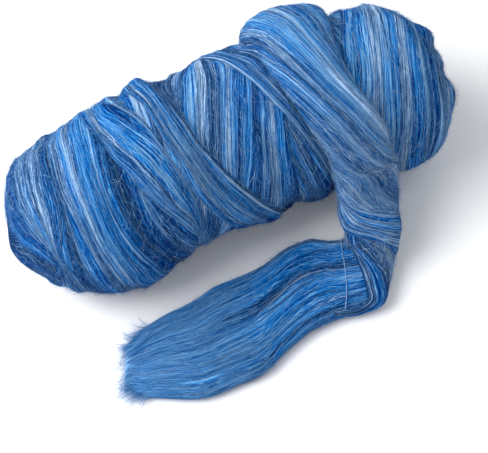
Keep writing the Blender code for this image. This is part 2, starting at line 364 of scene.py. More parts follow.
def spline_rows(rows, at):
    """Rows at places between the rows of a table, on a Catmull-Rom curve."""
    at = np.asarray(at, float)
    first = np.clip(np.floor(at).astype(int), 0, len(rows) - 2)
    part = np.clip(at - first, 0.0, 1.0)[..., None]
    square = part * part
    cube = square * part
    p0 = rows[np.maximum(first - 1, 0)]
    p1 = rows[first]
    p2 = rows[first + 1]
    p3 = rows[np.minimum(first + 2, len(rows) - 1)]
    start = p1 * (2 * cube - 3 * square + 1) + (p2 - p0) / 2.0 * (cube - 2 * square + part)
    return start + p2 * (3 * square - 2 * cube) + (p3 - p1) / 2.0 * (cube - square)


def furrow_depth(row, across):
    """How far the furrows press the laid stretch down."""
    depth = 0.0
    for first, last, across_first, across_last, deep, half in FURROWS:
        run = (row - first) / (last - first)
        off = (across - across_first - run * (across_last - across_first)) / half
        fade = smooth_step(run / FURROW_FADE) * smooth_step((1.0 - run) / FURROW_FADE)
        depth = depth + deep * fade * np.maximum(0.0, 1.0 - off * off)
    return depth


def twist(row):
    """How far the fibres have turned round the loose end at a row, in whole turns."""
    turns = np.array(TWIST_TURNS)[:, None]
    at = np.clip((np.asarray(row) - TWIST_FROM_ROW) / TWIST_ROW_STEP, 0.0, len(turns) - 1.0)
    return spline_rows(turns, at)[..., 0]


def rope_swell(row, around):
    """The loose end's size at a place, raised by the strands of its twist."""
    run_in = smooth_step((row - ROPE_START_ROW) / ROPE_RUN_IN)
    run_out = smooth_step((ROPE_END_ROW - row) / ROPE_RUN_IN)
    turn = np.radians(around) + 2.0 * pi * twist(row)
    return 1.0 + ROPE_DEPTH * run_in * run_out * np.cos(ROPE_LOBES * turn)


def seat_on_roll(points):
    """Moves points out of the roll, to its surface and a gap, and up to the ground."""
    x = points[..., 0]
    forward = roll_section(x)[1]
    ahead = -(points[..., 1] + forward)
    up = points[..., 2] - AXIS_HEIGHT
    angle = np.degrees(np.arctan2(up, ahead))
    least = seat_radius(x, angle)
    seated = roll_point(x, angle, least)
    return keep_above(np.where((np.hypot(ahead, up) < least)[..., None], seated, points))


def loose_frame(row):
    """Middle, side, face and travel of the loose end's sections, with crown and belly."""
    here = spline_rows(LOOSE_ROWS, row)
    behind = spline_rows(LOOSE_ROWS, row - 0.5)
    ahead = spline_rows(LOOSE_ROWS, row + 0.5)
    left = here[..., 0:3]
    right = here[..., 3:6]
    travel = (ahead - behind)[..., 0:3] + (ahead - behind)[..., 3:6]
    side = right - left
    face = unit(np.cross(travel, side))
    return (left + right) / 2.0, side, face, unit(travel), here[..., 6], here[..., 7]


def loose_point(row, around):
    """Points of the loose end's skin: row along it, around in degrees, 90 on top."""
    row = np.asarray(row, float)
    middle, side, face, _, crown, belly = loose_frame(row)
    turn = np.radians(around)
    across = signed_power(np.cos(turn), 2.0 / SECTION_ROUNDNESS)
    over = signed_power(np.sin(turn), 2.0 / SECTION_ROUNDNESS)
    swell = rope_swell(row, around)
    height = over * np.where(over > 0.0, crown, belly) * swell
    sink = furrow_depth(row, across) * np.maximum(0.0, over)
    point = (middle + side * (across * swell / 2.0)[..., None]
             + face * (height - sink)[..., None])
    return seat_on_roll(point)


# ---------------- bands on the roll

# Wraps round the roll, from the first laid to the last. Each row is an angle and the places
# of a few guiding fibres there, from the wrap's left edge to its right one
WRAP_ROWS = {
    "back_left": [(335, 70, 100), (300, 64, 96), (260, 60, 94), (210, 58, 92), (170, 66, 96),
                  (135, 84, 108), (112, 92, 112)],
    "back_cross": [(330, 132, 164), (290, 120, 154), (250, 106, 142), (210, 96, 130),
                   (175, 88, 118), (145, 84, 108)],
    "back_middle": [(335, 92, 126), (290, 102, 138), (250, 114, 152), (215, 126, 164),
                    (180, 144, 180), (150, 158, 192), (120, 166, 194)],
    "back_right": [(335, 250, 280), (300, 240, 274), (250, 224, 260), (210, 206, 242),
                   (170, 190, 224), (135, 178, 206)],
    "back_end": [(335, 238, 276), (280, 250, 290), (230, 258, 296), (180, 258, 296),
                 (140, 252, 290)],
    "right_edge": [(200, 262, 280, 296), (150, 266, 288, 303), (120, 264, 293, 305),
                   (83, 262, 288.9, 302), (50, 258, 278.7, 294), (24, 256, 275, 287),
                   (-6, 254, 272.4, 280), (-40, 254, 270, 278), (-85, 256, 268, 276)],
    "right_fan": [(215, 238, 250, 258, 266, 274, 280), (180, 244, 258, 266, 274, 282, 287),
                  (150, 250, 266, 274, 281, 288, 291), (127, 246, 261.6, 271, 278.5, 286, 288.5),
                  (105, 237, 254, 265.5, 274, 281.8, 284), (90, 232, 249.5, 260.5, 269.5, 278, 280.5),
                  (67, 226, 242.5, 253, 262.5, 271.5, 273.8), (48, 220, 236.4, 248, 257, 268.3, 270.6),
                  (25, 216, 231, 244.6, 252, 265, 267.6), (6, 214, 229, 242.5, 249.8, 263, 265.4),
                  (-15, 216, 231, 243, 250.5, 263, 265.2), (-35, 220, 235, 246, 254, 264.5, 267),
                  (-85, 226, 240, 250, 257, 266, 270)],
    "left_fan": [(215, 60, 72, 84, 96), (185, 40, 55, 72, 84), (155, 27, 40.6, 62, 72),
                 (138, 22.3, 35.3, 56, 64.5), (119, 20.3, 30.9, 50, 59.8),
                 (102, 19.9, 28.4, 45.8, 56.3), (88, 21.5, 27.2, 42.4, 54.8),
                 (75, 23.9, 28.4, 41, 53.4), (62, 26.4, 29.8, 40.3, 51.4),
                 (47, 29.9, 33.6, 39.8, 47.3), (34, 36, 37.6, 39.7, 44), (22, 39.2, 40.4, 41.4, 43.2),
                 (8, 39, 42, 45.5, 49.5), (-10, 40, 44.5, 49, 53.5), (-30, 44, 49.5, 54.5, 59.5),
                 (-60, 50, 57, 63, 69), (-90, 54, 62, 69, 76)],
    "under_fan": [(120, 160, 172, 190), (90, 166, 177, 192), (60, 172, 182, 191),
                  (46, 175, 184.5, 193.5), (30, 179, 186.3, 198), (14, 181.2, 190, 203),
                  (-5, 185, 195, 208), (-30, 189, 199, 213), (-60, 192, 202, 216),
                  (-90, 192, 202, 216)],
    "centre": [(205, 170, 176, 184, 192, 200, 206), (170, 158, 168, 178, 187, 196, 203),
               (140, 148, 162, 175, 184, 192, 199), (110, 137, 155.8, 171, 181, 189, 196),
               (90, 131, 148.5, 163.5, 175.5, 185, 192), (75, 126, 143, 157.8, 170, 181, 189),
               (60, 121, 137.8, 152.5, 164.5, 177, 186), (45, 117, 133, 147.6, 160, 173.5, 182.8),
               (25, 113, 128, 142, 152.7, 169.5, 182.8), (5, 110, 124, 138, 149, 167, 184),
               (-10, 108, 122, 136, 147, 166, 185.5), (-45, 106, 120, 134, 146, 166, 187),
               (-90, 104, 118, 132, 145, 165, 188)],
    "small_cross": [(165, 146, 172), (150, 138, 160), (135, 132, 151), (120, 128, 144.5),
                    (108, 127, 141.5), (98, 127, 137.5), (86, 127, 133.8), (66, 128, 131)],
    "broad_fan": [(205, 90, 97, 104, 111, 118, 130, 134), (170, 77, 84, 90, 96, 104, 118, 122),
                  (130, 61.9, 63, 71, 80, 90, 102, 106), (101, 56.4, 57.4, 65.5, 74, 83.5, 96, 100),
                  (80, 52.8, 54.6, 62.2, 71, 79, 94.6, 98), (63, 51.5, 55.1, 61.6, 70.4, 77.4, 93.3, 99),
                  (43, 48, 56.3, 61.8, 71.2, 79, 92.6, 106), (26, 46.7, 58.3, 64, 74.2, 83, 94.8, 114),
                  (5, 48.8, 62.3, 68.5, 79.8, 91, 103.5, 124),
                  (-15, 53.7, 67.5, 73.6, 85, 99, 114.5, 134),
                  (-30, 58, 72, 80, 91, 106.5, 122, 141), (-50, 64, 79, 88, 100, 114, 130, 148),
                  (-90, 72, 88, 98, 110, 124, 140, 156)],
    "wedge": [(185, 92, 96, 102, 108, 114), (150, 86, 89, 95, 100, 106), (120, 83.5, 86, 90.5, 96, 107),
              (104, 84.6, 86.6, 92.5, 99.5, 110.5), (86, 87.2, 89.2, 97, 106.8, 113.5),
              (73, 91.2, 93.6, 101.5, 112.4, 115), (57, 95, 98.8, 106.5, 116.4, 118.5),
              (41, 101.9, 105, 111.5, 119.6, 122), (25, 110.3, 114, 117.5, 121.4, 124.5),
              (8, 118.3, 119.6, 120.6, 121.8, 125.4), (-10, 120.5, 122.5, 124.5, 126.5, 130),
              (-40, 128, 131, 135, 139, 144), (-90, 134, 138, 143, 148, 153)],
    "bright_fan": [(180, 156, 166, 188), (140, 163, 172, 194), (112, 171, 181, 203),
                   (98, 175.4, 182, 205), (84, 179.3, 185, 208), (70, 183.2, 189.2, 211),
                   (60, 187.1, 191.8, 213), (46, 191.8, 195.6, 216), (29, 197.2, 201, 220),
                   (11, 201.9, 206.5, 223), (-6, 205.8, 211, 226), (-22, 209.3, 215, 228),
                   (-50, 211, 217, 229), (-90, 210, 216, 228)],
    "diagonal": [(205, 128, 150), (160, 117, 136), (123, 113.5, 130.9), (103, 115.8, 130.6),
                 (88, 116.2, 131.7), (76, 116.8, 133.8), (64, 119.5, 135.6), (52, 121.3, 140.4),
                 (40, 123.4, 145.2), (28, 127, 151), (13, 133.5, 159.2), (4, 138.5, 164),
                 (-8, 145, 170.5), (-25, 151, 178), (-60, 157, 186), (-90, 159, 188)],
}
# Stripes of the dye along the wraps: middle and half width in shares of the wrap's width,
# lightness, and greyness
STRIPES = {
    "back_left": [],
    "back_cross": [(0.3, 0.1, 0.1, 0.5)],
    "back_middle": [(0.2, 0.06, 0.15, 0.5), (0.6, 0.1, -0.1, -0.8)],
    "back_right": [(0.4, 0.08, 0.12, 0.6), (0.75, 0.08, -0.08, -0.8)],
    "back_end": [(0.5, 0.1, 0.08, 0.3)],
    "right_edge": [(0.03, 0.05, -0.45, 0.0), (0.22, 0.05, 0.06, 0.0), (0.40, 0.035, -0.45, 0.0),
                   (0.62, 0.06, 0.05, 0.6), (0.85, 0.08, -0.06, -0.5)],
    "right_fan": [(0.03, 0.04, 0.06, -0.8), (0.12, 0.03, -0.06, -0.5), (0.22, 0.035, 0.16, 0.2),
                  (0.33, 0.03, 0.08, -0.3), (0.45, 0.04, -0.10, -0.4), (0.60, 0.05, 0.08, 0.6),
                  (0.70, 0.03, -0.30, -0.2), (0.88, 0.04, 0.04, 0.5),
                  (0.97, 0.03, -0.35, 0.0)],
    "left_fan": [(0.12, 0.10, -0.20, 0.2), (0.37, 0.04, 0.14, 0.3), (0.50, 0.06, 0.0, 0.5),
                 (0.66, 0.07, 0.10, 0.8), (0.80, 0.05, -0.02, 0.3), (0.92, 0.06, -0.10, -0.8)],
    "under_fan": [(0.30, 0.10, -0.15, 0.0), (0.50, 0.04, 0.16, 0.7), (0.75, 0.12, -0.12, 0.2)],
    "centre": [(0.05, 0.05, -0.02, -0.6), (0.18, 0.035, 0.30, 0.5), (0.25, 0.03, -0.10, -0.4),
               (0.32, 0.03, 0.10, 0.0), (0.395, 0.035, 0.28, 0.5), (0.46, 0.03, 0.0, 0.7),
               (0.57, 0.07, 0.04, -1.0), (0.66, 0.03, -0.10, -0.6), (0.73, 0.03, 0.08, 0.3),
               (0.84, 0.045, 0.46, 0.8), (0.90, 0.04, 0.0, -0.4), (0.98, 0.04, -0.2, 0.0)],
    "small_cross": [(0.3, 0.2, -0.08, 0.5)],
    "broad_fan": [(0.02, 0.03, -0.12, 0.0), (0.07, 0.035, 0.20, 0.3), (0.17, 0.05, -0.04, -0.6),
                  (0.31, 0.08, 0.16, 0.9), (0.42, 0.04, 0.14, 0.4), (0.50, 0.05, -0.06, -0.8),
                  (0.60, 0.07, 0.0, -0.9), (0.69, 0.04, -0.12, -0.8), (0.74, 0.03, -0.10, 0.8),
                  (0.79, 0.05, -0.26, -0.5), (0.87, 0.03, 0.0, 0.8), (0.95, 0.05, -0.12, 0.2)],
    "wedge": [(0.18, 0.13, 0.22, 0.7), (0.42, 0.06, 0.04, 1.0), (0.52, 0.04, -0.10, -0.3),
              (0.64, 0.015, 0.35, 0.0), (0.68, 0.10, 0.02, -0.9), (0.85, 0.05, -0.08, -0.6),
              (0.95, 0.04, 0.12, 0.3)],
    "bright_fan": [(0.07, 0.04, 0.90, 1.4), (0.14, 0.06, 0.05, -1.0), (0.30, 0.08, -0.1, -0.5)],
    "diagonal": [(0.06, 0.05, -0.10, 0.6), (0.22, 0.06, 0.16, 0.7), (0.36, 0.05, -0.05, -0.8),
                 (0.50, 0.05, 0.10, 0.2), (0.70, 0.09, -0.16, -0.7), (0.86, 0.015, 0.22, 0.4),
                 (0.93, 0.06, -0.14, 0.0)],
}
# How much lighter or darker some wraps are than the rest: their own dye, with painted shade
# and light that makes the wraps towards the left end darker and those at the right end lighter
WRAP_PALENESS_AND_PAINTED_LIGHT = {"left_fan": -0.26, "broad_fan": -0.15, "wedge": -0.06, "centre": -0.13,
        "diagonal": -0.05, "right_fan": 0.14, "right_edge": 0.12, "under_fan": -0.06}
# The first turns of the winding, which show between the wraps: middle place, half width, tilt
HOOPS = [(30, 19, 3), (56, 21, -5), (84, 21, 6), (112, 22, -7), (141, 22, 6), (170, 22, -6),
         (199, 22, 7), (228, 22, -5), (256, 21, 5), (287, 19, -3)]
# Bands over the domed ends, laid after the hoops: which end, direction in degrees, and rows of
# a run over the tip with the offsets of guiding fibres there
LOOPS = [
    ("left", 95, [(46, -9, 21), (20, -8, 20), (0, -8, 20), (-20, -8, 20), (-46, -9, 21)]),
    ("left", 150, [(44, -20, 6), (20, -20, 6), (0, -20, 6), (-20, -20, 6), (-44, -20, 6)]),
    ("left", 0, [(44, 5.5, 7.5, 9, 11), (38, 5, 8.5, 13, 17), (31, -1.5, 9.5, 18.5, 25),
                 (24, -6, 9, 19.5, 28), (12, -12, 6, 16.5, 28), (2, -14, 5.5, 17.5, 28),
                 (-12, -15, 4, 18, 29), (-26, -14, 4, 18, 28), (-42, -12, 4, 16, 25)]),
    ("right", 35, [(44, -11, 19), (20, -11, 19), (0, -11, 19), (-20, -11, 19), (-44, -11, 19)]),
    ("right", 120, [(44, -19, 9), (20, -19, 9), (0, -19, 9), (-20, -19, 9), (-44, -19, 9)]),
    ("right", 82, [(42, -2, 22), (20, -2, 22), (0, -2, 22), (-20, -2, 22), (-42, -2, 22)]),
]


# ---------------- laying wool on the roll

# Thickness of a band, and how far it presses down those below it
WRAP_THICK = 1.35
WRAP_PRESSED = 0.55
# How far under the smooth surface the winding starts, and how much deeper at the ends
CORE_SINK = 1.5
END_SINK = 1.6
END_REACH = 42.0
# Width of a band's rounded edge, length of its fading ends, and how far its rim is tucked in
EDGE_ROUND = 2.2
END_FADE = 24.0
TUCK = 1.6
MEAN_RADIUS = 50.0
# Length of outline kept free at the tips, where directions have no meaning
TIP_MARGIN = 0.6
# Points read from the curve through a band's rows, for each row, and the least share of its
# mean width over which a band keeps its relief
BAND_STEPS = 40
LEAST_SPREAD = 0.25
# Angles of a hoop's rows, from underneath over the back and the top to underneath
HOOP_ANGLES = range(270, -91, -30)
# Strands side by side: the fewest, how far each strays from its even place, and the ranges of
# its half width, its height, its wave's length in millimetres and its share of the sway
FEWEST_STRANDS = 4
STRAND_STRAY = 0.35
STRAND_HALF = (0.55, 1.15)
STRAND_HEIGHT = (0.55, 1.0)
STRAND_WAVE = (70.0, 190.0)
STRAND_SWAY = (0.3, 1.0)


def place_x(place):
    """x at a length along the roll's outline."""
    return np.interp(place, MERIDIAN, MERIDIAN_X)


def skin(place, angle):
    """The roll's smooth surface."""
    x = place_x(place)
    return roll_point(x, angle, roll_radius(x, angle))


def knob_rise(points):
    """Height of the small knobs and dents at points of the roll."""
    rise = np.zeros(points.shape[:-1])
    for x, y, z, radius, height in KNOBS:
        away = np.linalg.norm(points - (x, y, z), axis=-1) / radius
        rise = rise + height * (1.0 - smooth_step(away))
    return rise


def skin_and_normal(place, angle, reach=1.0):
    """Points of the roll's smooth surface, with its knobs, and their outward directions."""
    place = np.clip(place, TIP_MARGIN, MERIDIAN_LENGTH - TIP_MARGIN)
    along = skin(place + reach, angle) - skin(place - reach, angle)
    around = skin(place, angle + reach) - skin(place, angle - reach)
    point, outward = skin(place, angle), unit(np.cross(along, around))
    return point + outward * knob_rise(point)[..., None], outward


def under_skin(place):
    """How far under the smooth surface the winding starts: deeper where loops cross the ends."""
    end = np.minimum(place, MERIDIAN_LENGTH - place)
    return CORE_SINK + END_SINK * (1.0 - smooth_step(end / END_REACH))


def edge_round(inside):
    """0 to 1 over a band's rounded edge, with its side standing up."""
    share = 1.0 - np.clip(inside / EDGE_ROUND, 0.0, 1.0)
    return np.sqrt(np.maximum(0.0, 1.0 - share * share))


def blend_guides(guides, across):
    """Values at shares of a band's width, from those of its guiding fibres."""
    last = guides.shape[across.ndim] - 1
    first = np.clip((across * last).astype(int), 0, last - 1)
    part = across * last - first
    first = first.reshape(first.shape + (1,) * (guides.ndim - first.ndim))
    part = part.reshape(part.shape + (1,) * (guides.ndim - 1 - part.ndim))
    near = np.take_along_axis(guides, first, across.ndim)
    far = np.take_along_axis(guides, first + 1, across.ndim)
    near, far = (np.squeeze(side, across.ndim) for side in (near, far))
    return near + part * (far - near)


class Band:
    """Wool laid along a few guiding fibres, round the roll or over one of its ends.

    Each row is a place along the band, its run, and the offsets of the guiding fibres. Round
    the roll a run is an angle and an offset is a place; over an end both are in
    millimetres from the tip.
    """

    def __init__(self, rows, end=None, direction=0.0, closed=False):
        rows = np.array(rows, float)[::-1]
        fine = spline_rows(rows, np.linspace(0.0, len(rows) - 1.0, BAND_STEPS * len(rows)))
        self.run, self.guides = fine[:, 0], fine[:, 1:]
        self.low, self.high = self.run[0], self.run[-1]
        self.end, self.closed = end, closed
        self.cosine, self.sine = np.cos(radians(direction)), np.sin(radians(direction))
        self.scale = 1.0 if end else radians(1.0) * MEAN_RADIUS
        self.length = (self.high - self.low) * self.scale
        self.width = float(np.mean(self.guides[:, -1] - self.guides[:, 0]))

    def chart(self, place, angle):
        """The run and the offset of places on the roll."""
        if not self.end:
            return self.low + (angle - self.low) % 360.0, place
        away = place if self.end == "left" else MERIDIAN_LENGTH - place
        turn = np.radians(angle)
        p, q = away * np.cos(turn), away * np.sin(turn)
        return p * self.cosine + q * self.sine, q * self.cosine - p * self.sine

    def cover(self, place, angle):
        """How fully the band lies over a place: 0 outside it, 1 inside its edges."""
        run, off = self.chart(place, angle)
        left = np.interp(run, self.run, self.guides[:, 0])
        right = np.interp(run, self.run, self.guides[:, -1])
        crown = edge_round(np.minimum(off - left, right - off))
        if self.closed:
            return crown
        to_end = np.minimum(run - self.low, self.high - run) * self.scale
        return crown * smooth_step(to_end / END_FADE)

    def at(self, across, along):
        """Place, angle and spread at shares of the band's width and length."""
        run = self.high + along * (self.low - self.high)
        guides = np.stack([np.interp(run, self.run, guide) for guide in self.guides.T], -1)
        off = blend_guides(guides, across)
        spread = np.clip((guides[..., -1] - guides[..., 0]) / self.width, LEAST_SPREAD, 1.0)
        if not self.end:
            return off, run, spread
        p = run * self.cosine - off * self.sine
        q = run * self.sine + off * self.cosine
        away = np.hypot(p, q)
        place = away if self.end == "left" else MERIDIAN_LENGTH - away
        return place, np.degrees(np.arctan2(q, p)), spread


def hoop_rows(middle, half, tilt):
    """Rows of a whole turn, tilted a little one way over the top and back underneath."""
    rows = []
    for angle in HOOP_ANGLES:
        shift = tilt * np.cos(radians(angle))
        rows.append((angle, middle + shift - half, middle + shift + half))
    return rows


HOOP_BANDS = [Band(hoop_rows(*hoop), closed=True) for hoop in HOOPS]
LOOP_BANDS = [Band(rows, end, direction) for end, direction, rows in LOOPS]
WRAP_BANDS = {name: Band(rows) for name, rows in WRAP_ROWS.items()}
ALL_BANDS = HOOP_BANDS + LOOP_BANDS + list(WRAP_BANDS.values())
FIRST_WRAP = len(HOOP_BANDS) + len(LOOP_BANDS)


def wound_height(place, angle, count):
    """Height of the first bands laid, over the core."""
    height = np.zeros(np.broadcast(place, angle).shape)
    for band in ALL_BANDS[:count]:
        crown = band.cover(place, angle)
        height = height * (1.0 - WRAP_PRESSED * crown) + WRAP_THICK * crown
    return height


def later_cover(place, angle, count):
    """How fully the bands laid later lie over a place."""
    covered = np.zeros(np.broadcast(place, angle).shape)
    for band in ALL_BANDS[count:]:
        covered = np.maximum(covered, band.cover(place, angle))
    return covered


def strand_relief(rng, across, along, width, pitch, sway, around=None):
    """Rounded strands side by side: ridge 0 to 1, and the number of the top strand.

    across and along are in millimetres. around is the girth where the strands close
    on themselves.
    """
    count = max(FEWEST_STRANDS, int(round(width / pitch)))
    stray = rng.uniform(-STRAND_STRAY, STRAND_STRAY, count)
    middle = (np.arange(count) + 0.5 + stray) * width / count
    half = pitch * rng.uniform(*STRAND_HALF, count)
    tall = rng.uniform(*STRAND_HEIGHT, count)
    period = rng.uniform(*STRAND_WAVE, count)
    phase = rng.uniform(0.0, 2.0 * pi, count)
    sway = sway * rng.uniform(*STRAND_SWAY, count)
    best = np.full(np.broadcast(across, along).shape, -1.0)
    top = np.zeros(best.shape, int)
    for i in range(count):
        off = across - middle[i] - sway[i] * np.sin(2.0 * pi * along / period[i] + phase[i])
        if around:
            off = (off + around / 2.0) % around - around / 2.0
        ridge = tall[i] * (1.0 - (off / half[i]) ** 2)
        higher = ridge > best
        best = np.where(higher, ridge, best)
        top = np.where(higher, i, top)
    return np.clip(best, 0.0, 1.0), top


def soft_noise(rng, u, v, cell_u, cell_v, wrap_u=0):
    """Smooth random values from -1 to 1, in cells of the given sizes."""
    u = u / cell_u
    v = v / cell_v
    low_v = int(np.floor(v.min()))
    low_u = 0 if wrap_u else int(np.floor(u.min()))
    span_u = wrap_u or int(np.ceil(u.max())) - low_u + 2
    grid = rng.uniform(-1.0, 1.0, (span_u, int(np.ceil(v.max())) - low_v + 2))
    i, j = np.floor(u).astype(int), np.floor(v).astype(int)
    fu, fv = smooth_step(u - i), smooth_step(v - j)
    i, j = i - low_u, j - low_v
    i0, i1 = (i % span_u, (i + 1) % span_u) if wrap_u else (i, i + 1)
    lower = grid[i0, j] * (1.0 - fu) + grid[i1, j] * fu
    upper = grid[i0, j + 1] * (1.0 - fu) + grid[i1, j + 1] * fu
    return lower * (1.0 - fv) + upper * fv


# ---------------- meshes

# Free rim of a piece's export map, and of each strand's own strip of it, as shares
BAKE_MARGIN = 0.004
STRIP_MARGIN = 0.1
STRIP_END = 0.01
# Strands in the fibre map, in millimetres: how far apart they lie, the width of one side, and
# the length of one step of a flat hair
STRAND_OFFSET = 37.0
SIDE_WIDTH = 0.35
HAIR_STEP = 3.0
# A direction that no strand runs in, to start its sides from
SIDE_START = (0.31, 0.17, 0.93)


def make_piece(name, points, groups, material, values=None):
    """A mesh from points in millimetres.

    Each group is faces of one kind, with the map along the fibres and the map for export
    at their corners.
    """
    mesh = bpy.data.meshes.new(name)
    corners = [faces.ravel() for faces, _, _ in groups]
    sides = np.concatenate([np.full(len(faces), faces.shape[1]) for faces, _, _ in groups])
    starts = np.concatenate([[0], np.cumsum(sides)[:-1]])
    mesh.vertices.add(len(points))
    mesh.vertices.foreach_set("co", (points * MM).astype(np.float32).ravel())
    mesh.loops.add(int(sides.sum()))
    mesh.loops.foreach_set("vertex_index", np.concatenate(corners).astype(np.int32))
    mesh.polygons.add(len(sides))
    mesh.polygons.foreach_set("loop_start", starts.astype(np.int32))
    mesh.update(calc_edges=True)
    for title, at in (("fibre", 1), ("OFBake", 2)):
        layer = mesh.uv_layers.new(name=title)
        spread = np.concatenate([group[at].reshape(-1, 2) for group in groups])
        layer.data.foreach_set("uv", spread.astype(np.float32).ravel())
    for title, numbers in (values or {}).items():
        attribute = mesh.attributes.new(title, "FLOAT", "POINT")
        attribute.data.foreach_set("value", numbers.astype(np.float32).ravel())
    mesh.validate()
    mesh.shade_smooth()
    obj = bpy.data.objects.new(name, mesh)
    bpy.context.scene.collection.objects.link(obj)
    mesh.materials.append(material)
    return obj


def grid_faces(rows, columns, closed=False):
    """Quads of a grid of points, with the row and the unwrapped column of each corner."""
    last = columns if closed else columns - 1
    i, j = np.meshgrid(np.arange(rows - 1), np.arange(last), indexing="ij")
    i, j = i.ravel(), j.ravel()
    row = np.stack([i, i + 1, i + 1, i], -1)
    column = np.stack([j, j, j + 1, j + 1], -1)
    return row * columns + column % columns, row, column


def corner_maps(row, column, across, along, rows, columns):
    """The fibre map in metres and the export map over the whole image, at face corners."""
    fibre = np.stack([across[row, column], along[row, column]], -1) * MM
    inside = 1.0 - 2.0 * BAKE_MARGIN
    bake = BAKE_MARGIN + inside * np.stack([column / columns, row / rows], -1)
    return fibre, bake


def strip_map(number, count, across, along):
    """The export map of one of many strands, from shares across and along its strip."""
    across = STRIP_MARGIN + (1.0 - 2.0 * STRIP_MARGIN) * across
    return np.stack([(number + across) / count, STRIP_END + (1.0 - 2.0 * STRIP_END) * along], -1)


def make_patch(name, points, outward, across, along, values, material, keep=None):
    """A strip of the surface as a grid piece, its faces turned outward."""
    rows, columns = points.shape[:2]
    faces, row, column = grid_faces(rows, columns)
    if keep is not None:
        kept = keep[row, column].any(axis=1)
        faces, row, column = faces[kept], row[kept], column[kept]
    flat = points.reshape(-1, 3)
    turned = np.cross(flat[faces[:, 1]] - flat[faces[:, 0]], flat[faces[:, 3]] - flat[faces[:, 0]])
    if (turned * outward.reshape(-1, 3)[faces[:, 0]]).sum() < 0.0:
        faces, row, column = faces[:, ::-1], row[:, ::-1], column[:, ::-1]
    fibre, bake = corner_maps(row, column, across, along, rows - 1, columns - 1)
    used, faces = np.unique(faces, return_inverse=True)
    faces = faces.reshape(row.shape)
    values = {title: numbers.ravel()[used] for title, numbers in values.items()}
    return make_piece(name, flat[used], [(faces, fibre, bake)], material, values)


def make_closed(name, points, across, along, values, material):
    """A closed skin from rings of points, with a pole at each end.

    across has one column more than the rings, so that the map stays whole at the seam.
    """
    rows, columns = points.shape[:2]
    faces, row, column = grid_faces(rows, columns, closed=True)
    groups = [(faces, *corner_maps(row, column, across, along, rows - 1, columns))]
    j = np.arange(columns)
    for ring, pole in ((0, rows * columns), (rows - 1, rows * columns + 1)):
        pair = (j + 1, j) if ring else (j, j + 1)
        column = np.stack([*pair, j], -1)
        row = np.full(column.shape, ring)
        cap = ring * columns + column % columns
        cap[:, 2] = pole
        groups.append((cap, *corner_maps(row, column, across, along, rows - 1, columns)))
    poles = [points[0].mean(0), points[-1].mean(0)]
    flat = np.concatenate([points.reshape(-1, 3), poles])
    a, b, c = (flat[faces[:, i]] for i in (0, 1, 2))
    if (np.cross(b - a, c - a) * (a - flat.mean(0))).sum() < 0.0:
        groups = [tuple(part[:, ::-1] for part in group) for group in groups]
    values = {title: np.append(numbers.ravel(), [numbers[0].mean(), numbers[-1].mean()])
              for title, numbers in values.items()}
    return make_piece(name, flat, groups, material, values)


def make_tubes(name, paths, radii, tone, material, sides, shift=0.0):
    """Closed tubes along paths, all in one piece: each tube has its own strip of the maps."""
    count, steps = paths.shape[:2]
    tangent = unit(np.gradient(paths, axis=1))
    side = np.cross(tangent[:, 0], SIDE_START)
    normals = []
    for step in range(steps):
        side = unit(side - tangent[:, step] * (side * tangent[:, step]).sum(-1, keepdims=True))
        normals.append(side)
    normals = np.stack(normals, 1)
    binormals = np.cross(tangent, normals)
    turn = 2.0 * pi * np.arange(sides) / sides
    ring = (normals[:, :, None] * np.cos(turn)[:, None]
            + binormals[:, :, None] * np.sin(turn)[:, None])
    rings = (paths[:, :, None] + ring * radii[:, :, None, None])[:, 1:-1]
    inner = steps - 2
    per_tube = inner * sides + 2
    tips = paths[:, [0, -1]]
    points = np.concatenate([rings.reshape(count, -1, 3), tips], 1).reshape(-1, 3)
    number = np.arange(count)[:, None, None]
    length = np.concatenate([np.zeros((count, 1)),
                             np.cumsum(np.linalg.norm(np.diff(paths, axis=1), axis=-1), 1)], 1)

    def group(faces, row, column):
        """Faces of one tube, repeated for all, with the maps at their corners."""
        corners = faces.shape[1]
        row = np.broadcast_to(row, (count, *row.shape))
        column = np.broadcast_to(column, row.shape)
        along = np.take_along_axis(length, (row + 1).reshape(count, -1), 1).reshape(row.shape)
        across = shift + STRAND_OFFSET * number + SIDE_WIDTH * column
        fibre = np.stack([across, along], -1) * MM
        bake = strip_map(number, count, column / sides, (row + 1) / (steps - 1))
        return ((per_tube * number + faces).reshape(-1, corners),
                fibre.reshape(-1, corners, 2), bake.reshape(-1, corners, 2))

    groups = [group(*(part[:, ::-1] for part in grid_faces(inner, sides, closed=True)))]
    j = np.arange(sides)
    for end, tip, pair in ((0, per_tube - 2, (j + 1, j)), (inner - 1, per_tube - 1, (j, j + 1))):
        column = np.stack([*pair, j], -1)
        cap = end * sides + column % sides
        cap[:, 2] = tip
        groups.append(group(cap, np.full(column.shape, end), column))
    return make_piece(name, points, groups, material, {"strand": np.repeat(tone, per_tube)})


def make_ribbons(name, paths, radii, tone, material, rng, dull=0.0):
    """Flat hairs along paths, all in one piece, each turned its own way."""
    count, steps = paths.shape[:2]
    tangent = unit(np.gradient(paths, axis=1))
    side = unit(np.cross(tangent, rng.normal(0.0, 1.0, (count, 1, 3)))) * radii[..., None]
    points = np.stack([paths - side, paths + side], 2).reshape(-1, 3)
    faces, row, column = grid_faces(steps, 2)
    row, column = (np.broadcast_to(part, (count, *row.shape)) for part in (row, column))
    number = np.arange(count)[:, None, None]
    faces = faces + 2 * steps * number
    fibre = np.stack([STRAND_OFFSET * number + SIDE_WIDTH * column, HAIR_STEP * row], -1) * MM
    bake = strip_map(number, count, column, row / (steps - 1))
    groups = [(faces.reshape(-1, 4), fibre.reshape(-1, 4, 2), bake.reshape(-1, 4, 2))]
    values = {"strand": np.repeat(tone, 2 * steps),
              "greyness": np.repeat(dull + 0.0 * tone, 2 * steps)}
    return make_piece(name, points, groups, material, values)


# ---------------- materials


